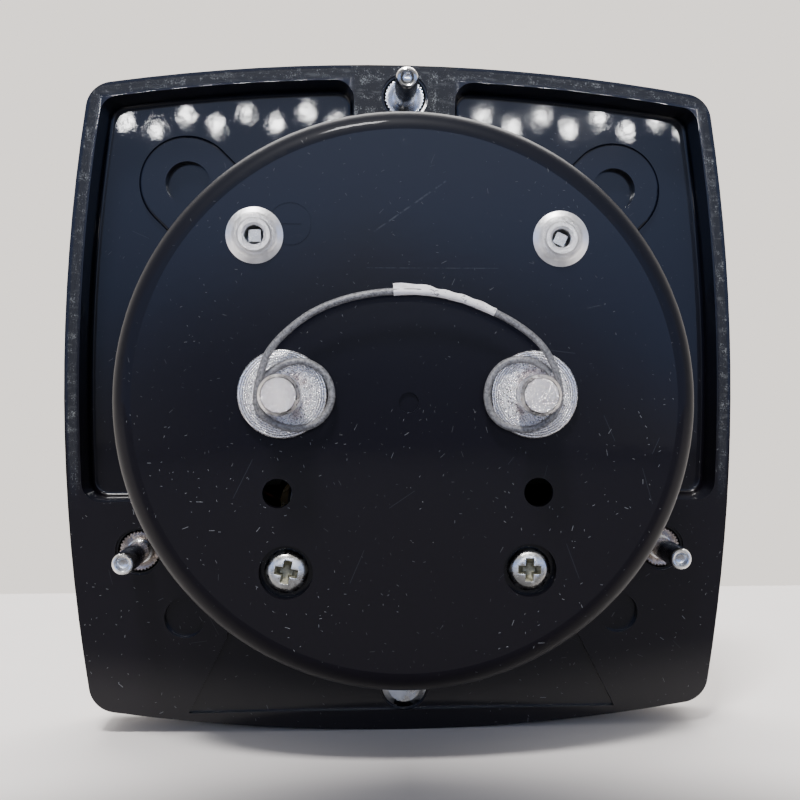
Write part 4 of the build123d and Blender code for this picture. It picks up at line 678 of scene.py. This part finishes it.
def screw_shape(centre):
    """A shank and a pan head, before the cross is cut."""
    def build(shape):
        profile = [(0, 15.0), (1.25, 15.0), (1.42, 15.25), (1.42, HEAD_SEAT_Y), (2.5, HEAD_SEAT_Y),
                   (2.6, HEAD_SEAT_Y + 0.12), (2.6, HEAD_SEAT_Y + 0.85), (2.52, HEAD_SEAT_Y + 1.2),
                   (2.3, HEAD_SEAT_Y + 1.52), (1.95, HEAD_SEAT_Y + 1.73), (1.4, HEAD_SEAT_Y + 1.86),
                   (0.8, HEAD_SEAT_Y + 1.9), (0, HEAD_SEAT_Y + 1.9)]
        lathe(shape, profile, centre, steps=72)
    return build


screw_nickel = satin_metal("screw_nickel", (0.76, 0.75, 0.70), 0.68, (0.20, 0.38), 0.25, 0.03, 1.2)
# The faces inside the cross recess are coloured darker and browner.
dark_recess = worn("dark_recess", (0.13, 0.125, 0.085), (0.34, 0.33, 0.25), 0.8, 0.4, 0.65,
                    0.3, 0.03, 0.8).material
for name, side, tilt in (("right", 1, 12), ("left", -1, 2)):
    centre = (side * SCREW_SPOT[0], SCREW_SPOT[1])
    screw = new_piece(f"movement_screw_{name}", screw_shape(centre), screw_nickel)
    cut_by(screw, new_piece("cutter", cross_cutter(centre, tilt), screw_nickel, body=None))
    screw.data.materials.append(dark_recess)
    for face in screw.data.polygons:
        at_depth = (HEAD_SEAT_Y + 0.5) * MM < face.center.y < (HEAD_SEAT_Y + 1.72) * MM
        if at_depth and from_axis(face.center, centre) < 1.7 * MM:
            face.material_index = 1
    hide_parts("movement_screws")

# ---------------------------------------------------------------- shorting wire and its paper tag
WIRE_DIAMETER = 0.85
SHORTING_ROUTE = [
    (17.30, 27.08, 2.90), (14.80, 27.08, 4.74), (11.95, 27.08, 4.99), (9.61, 27.08, 3.35),
    (8.87, 27.10, 0.59), (10.07, 27.08, -2.01), (12.67, 27.08, -3.21), (15.50, 27.08, -2.75),
    (17.86, 27.20, -1.00), (17.88, 27.55, 1.30), (17.20, 27.95, 3.80), (16.50, 28.30, 6.00),
    (14.00, 28.60, 8.70), (10.60, 28.80, 11.10), (5.60, 28.90, 12.78), (-0.90, 28.90, 13.28),
    (-4.60, 28.90, 12.72), (-7.90, 28.80, 11.70), (-12.30, 28.70, 9.60), (-15.60, 28.40, 7.10),
    (-17.30, 28.00, 4.20), (-17.95, 27.50, 1.60), (-17.75, 27.20, -0.90), (-15.90, 27.08, -2.75),
    (-13.60, 27.08, -3.30), (-10.90, 27.08, -2.70), (-9.20, 27.10, -0.60), (-9.20, 27.08, 2.30),
    (-10.80, 27.08, 4.70), (-13.50, 27.08, 5.40), (-15.90, 27.08, 4.50), (-16.80, 27.08, 3.55),
]


def route_curve(name, points, bevel_mm):
    """A smooth curve with the route's points as control points."""
    data = bpy.data.curves.new(name, "CURVE")
    data.dimensions = "3D"
    data.resolution_u = 12
    data.bevel_depth = bevel_mm * MM
    data.bevel_resolution = 5
    data.use_fill_caps = True
    spline = data.splines.new("NURBS")
    spline.points.add(len(points) - 1)
    for point, (x, y, z) in zip(spline.points, points):
        point.co = (x * MM, y * MM, z * MM, 1.0)
    spline.order_u = 3
    spline.use_endpoint_u = True
    piece = bpy.data.objects.new(name, data)
    bpy.context.scene.collection.objects.link(piece)
    return piece


def points_along(curve):
    """The centreline's points, read from the curve with no bevel."""
    bare = curve.copy()
    bare.data = curve.data.copy()
    bare.data.bevel_depth = 0.0
    bpy.context.scene.collection.objects.link(bare)
    bpy.context.view_layer.update()
    mesh = bpy.data.meshes.new_from_object(bare.evaluated_get(bpy.context.evaluated_depsgraph_get()))
    points = [vertex.co.copy() for vertex in mesh.vertices]
    bpy.data.meshes.remove(mesh)
    bpy.data.objects.remove(bare)
    return points


wire = route_curve("shorting_wire_smooth", SHORTING_ROUTE, WIRE_DIAMETER / 2)
wire.data.materials.append(MATERIALS["wire"])
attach(wire, "case")
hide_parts("shorting_wire")
centreline = points_along(wire)

TAG_FROM_X = 2.35
TAG_TO_X = -10.1
FLAG_END_SHARE = 0.34
ARCH_FROM_Z = 9.5
TAG_REACH = 0.49


def tag_shape(shape):
    """Paper wrapped round the wire: a stuck-together flag at one end, a ragged thin end at the other."""
    run = [point for point in centreline
           if point.z > ARCH_FROM_Z * MM and TAG_TO_X * MM <= point.x <= TAG_FROM_X * MM]
    run.sort(key=lambda point: -point.x)
    steps = 28
    rings = []
    for index, point in enumerate(run):
        share = index / (len(run) - 1)
        ahead = run[min(index + 1, len(run) - 1)] - run[max(index - 1, 0)]
        along = ahead.normalized()
        upward = Vector((0, 1, 0)).cross(along).normalized()
        if upward.z < 0:
            upward = -upward
        rearward = along.cross(upward).normalized()
        if rearward.y < 0:
            rearward = -rearward
        flag = max(0.0, 1 - share / FLAG_END_SHARE) ** 0.55
        flag_height = (0.52 + 0.42 * flag + 0.05 * math.sin(31 * share)) * MM
        ring = []
        for step in range(steps):
            angle = 2 * math.pi * step / steps
            up, rear = math.sin(angle), math.cos(angle)
            wrinkle = 1 + 0.035 * math.sin(23 * share + 3 * angle) + 0.02 * math.sin(61 * share - 5 * angle)
            reach = TAG_REACH * MM * wrinkle
            narrow = 1.0 - 0.75 * flag * max(0.0, up) ** 0.6
            lift = up * (flag_height if up > 0 else reach)
            ring.append(shape.verts.new(point + upward * lift + rearward * rear * reach * narrow))
        rings.append(ring)
    for near, far in zip(rings, rings[1:]):
        for step in range(steps):
            after = (step + 1) % steps
            shape.faces.new((near[step], near[after], far[after], far[step]))
    shape.faces.new(rings[0])
    shape.faces.new(list(reversed(rings[-1])))


tag = new_piece("paper_tag", tag_shape, MATERIALS["paper"], smooth_angle=60)
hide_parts("wire_tag")

# ---------------------------------------------------------------- dial graphics
PIVOT_Z = -14.0
DIAL_FACE_Y = -9.6
INK_THICKNESS = 0.03
SCALE_RADIUS = 34.0
POINTER_SWING = 45.0
DIVISIONS = 30
NUMBER_STEP = 10
ARC_HALF_WIDTH = 0.15
TICK_FOOT_RADIUS = SCALE_RADIUS + 0.3
# (every so many divisions, length, half width), the longest first
TICK_SIZES = ((10, 3.6, 0.28), (5, 2.6, 0.20), (1, 1.7, 0.12))
NUMBER_RADIUS = SCALE_RADIUS + 7.2
NUMBER_SIZE = 4.2
dial_ink = worn("dial_ink", (0.010, 0.010, 0.012), (0.022, 0.022, 0.025), 0.0, 0.45, 0.6,
                0.15, 0.004, 2.0).material


def on_dial(radius, angle):
    """A point on the dial at an angle from straight up, positive towards +X, in millimetres."""
    bearing = math.radians(angle)
    return radius * math.sin(bearing), PIVOT_Z + radius * math.cos(bearing)


def scale_marks(shape):
    """The scale's arc and its ticks, as thin raised bars."""
    def bar(corners):
        front = [shape.verts.new((x * MM, (DIAL_FACE_Y - INK_THICKNESS) * MM, z * MM)) for x, z in corners]
        back = [shape.verts.new((x * MM, DIAL_FACE_Y * MM, z * MM)) for x, z in corners]
        count = len(corners)
        shape.faces.new(front)
        shape.faces.new(list(reversed(back)))
        for index in range(count):
            after = (index + 1) % count
            shape.faces.new((front[index], back[index], back[after], front[after]))

    arc_steps = 60
    swept = [POINTER_SWING * (2 * step / arc_steps - 1) for step in range(arc_steps + 1)]
    bar([on_dial(SCALE_RADIUS + ARC_HALF_WIDTH, angle) for angle in swept]
        + [on_dial(SCALE_RADIUS - ARC_HALF_WIDTH, angle) for angle in reversed(swept)])
    for division in range(-DIVISIONS, DIVISIONS + 1):
        angle = POINTER_SWING * division / DIVISIONS
        length, half_width = next(size for every, *size in TICK_SIZES if division % every == 0)
        spread = math.degrees(half_width / SCALE_RADIUS)
        tip_radius = TICK_FOOT_RADIUS + length
        bar([on_dial(TICK_FOOT_RADIUS, angle - spread), on_dial(tip_radius, angle - spread),
             on_dial(tip_radius, angle + spread), on_dial(TICK_FOOT_RADIUS, angle + spread)])


marks = new_piece("scale_marks", scale_marks, dial_ink)
for division in range(-DIVISIONS, DIVISIONS + 1, NUMBER_STEP):
    text = bpy.data.curves.new(f"scale_number_{division + DIVISIONS}", "FONT")
    text.body = str(abs(division))
    text.size = NUMBER_SIZE * MM
    text.align_x = "CENTER"
    text.align_y = "CENTER"
    text.extrude = INK_THICKNESS / 2 * MM
    text.materials.append(dial_ink)
    number = bpy.data.objects.new(text.name, text)
    bpy.context.scene.collection.objects.link(number)
    angle = POINTER_SWING * division / DIVISIONS
    x, z = on_dial(NUMBER_RADIUS, angle)
    lean = Matrix.Rotation(math.radians(angle), 4, "Y")
    number.matrix_world = (Matrix.Translation(Vector((x, DIAL_FACE_Y - INK_THICKNESS / 2, z)) * MM) @ lean
                           @ Matrix.Rotation(math.radians(90), 4, "X"))
    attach(number, "case")

# ---------------------------------------------------------------- studio
FLOOR_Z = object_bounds()[0][2] - 0.02 * MM
FLOOR_BACK_Y = -0.15
FLOOR_FRONT_Y = 0.9
FLOOR_HALF_WIDTH = 1.5


def floor_shape(shape):
    """A wide flat table top that ends behind the part."""
    corners = [(-FLOOR_HALF_WIDTH, FLOOR_BACK_Y), (FLOOR_HALF_WIDTH, FLOOR_BACK_Y),
               (FLOOR_HALF_WIDTH, FLOOR_FRONT_Y), (-FLOOR_HALF_WIDTH, FLOOR_FRONT_Y)]
    shape.faces.new([shape.verts.new((x, y, FLOOR_Z)) for x, y in corners])


def table_paint():
    """Matt warm-white table top with a painted shadow that falls off to grey in front of the part."""
    made = Surface("table_paint", (0.75, 0.73, 0.71), 0.0, 0.85)
    mottle = made.noise(60.0, 4.0)
    pale = made.mix_color(made.ramp(mottle, 0.3, 0.7), (0.765, 0.735, 0.715), (0.785, 0.755, 0.735))
    ahead = made.axis("Y")
    # Painted shadow: the top turns grey in front of the part and widens farther ahead, standing in for the
    # part's soft shadow.
    painted_shadow_ahead = made.ramp(ahead, -0.005, 0.035)
    beside = made.math("SUBTRACT", made.math("ABSOLUTE", made.axis("X")), made.times(ahead, 1.3))
    painted_shadow_middle = made.ramp(beside, 0.02, -0.05)
    made.drive("Base Color", made.mix_color(made.times(painted_shadow_ahead, painted_shadow_middle), pale, (0.11, 0.11, 0.12)))
    made.bump(made.noise(2.0, 3.0), 0.2, 0.02)
    return made.material


table_top = new_piece("table_top", floor_shape, table_paint(), body=None)


def room_light():
    """An even room: a pale wall behind, a darker middle in front and a bluish band above that."""
    world = bpy.data.worlds.new("studio")
    world.use_nodes = True
    sky = Nodes(world.node_tree)
    place = sky.node("ShaderNodeTexCoord").outputs["Generated"]
    aside, ahead, rise = sky.node("ShaderNodeSeparateXYZ", {0: place}).outputs
    front = sky.ramp(ahead, 0.2, 0.6)
    sideways = sky.math("ABSOLUTE", aside)
    shade = sky.times(front, sky.times(sky.ramp(sideways, 0.22, 0.05), sky.ramp(rise, 0.10, -0.01)))
    lifted = sky.plus(rise, sky.times(sideways, 0.5))
    blue = sky.times(front, sky.times(sky.ramp(lifted, 0.03, 0.12), sky.ramp(rise, 0.42, 0.22)))
    color = sky.mix_color(blue, (0.64, 0.63, 0.63), (0.66, 0.90, 1.65))
    color = sky.mix_color(shade, color, (0.10, 0.10, 0.14))
    color = sky.mix_color(sky.ramp(ahead, -0.05, -0.45), color, (1.55, 1.44, 1.33))
    background = world.node_tree.nodes["Background"].inputs
    sky.feed(background["Color"], color)
    background["Strength"].default_value = 1.0
    return world


bpy.context.scene.world = room_light()


def area_light(name, place, aim, width, height, power, color=(1, 1, 1), shape="RECTANGLE", spread=180.0):
    """A soft light at place, turned to face aim."""
    data = bpy.data.lights.new(name, "AREA")
    data.shape = shape
    data.size, data.size_y = width, height
    data.energy = power
    data.color = color
    data.spread = math.radians(spread)
    light = bpy.data.objects.new(name, data)
    light.location = place
    light.rotation_euler = (Vector(aim) - Vector(place)).to_track_quat("-Z", "Y").to_euler()
    light.visible_camera = False
    bpy.context.scene.collection.objects.link(light)


area_light("back_soft", (0.0, -0.70, 0.80), (0, 0.03, 0), 1.1, 0.5, 7.0, (1.0, 0.98, 0.965), spread=120)
area_light("key", (0.18, 0.75, 1.05), (0, 0, 0), 0.22, 0.22, 5.0, (1.0, 0.98, 0.97), spread=90)

# Two rows of small lamps, (height, shift in lamps), that droop towards one end.
LAMP_ROWS = ((0.1510, 0.0), (0.1445, 0.5))
LAMPS_PER_ROW = 10
LAMP_FIRST_X = 0.140
LAMP_PITCH = 0.0335
LAMP_Y = 0.75
LAMP_DROOP = 0.9
LAMP_DROOP_FROM_X = 0.05
LAMP_AIM = (0.0, 0.0, 0.03)
LAMP_WIDTH = 0.0065
LAMP_HEIGHT = 0.006
LAMP_POWER = 0.030
for index in range(LAMPS_PER_ROW):
    for row, (row_z, shift) in enumerate(LAMP_ROWS):
        lamp_x = LAMP_FIRST_X - (index + shift) * LAMP_PITCH
        lamp_z = row_z - LAMP_DROOP * max(0.0, lamp_x - LAMP_DROOP_FROM_X) ** 2
        area_light(f"lamp_{index}_{row}", (lamp_x, LAMP_Y, lamp_z), LAMP_AIM,
                   LAMP_WIDTH, LAMP_HEIGHT, LAMP_POWER, shape="ELLIPSE")
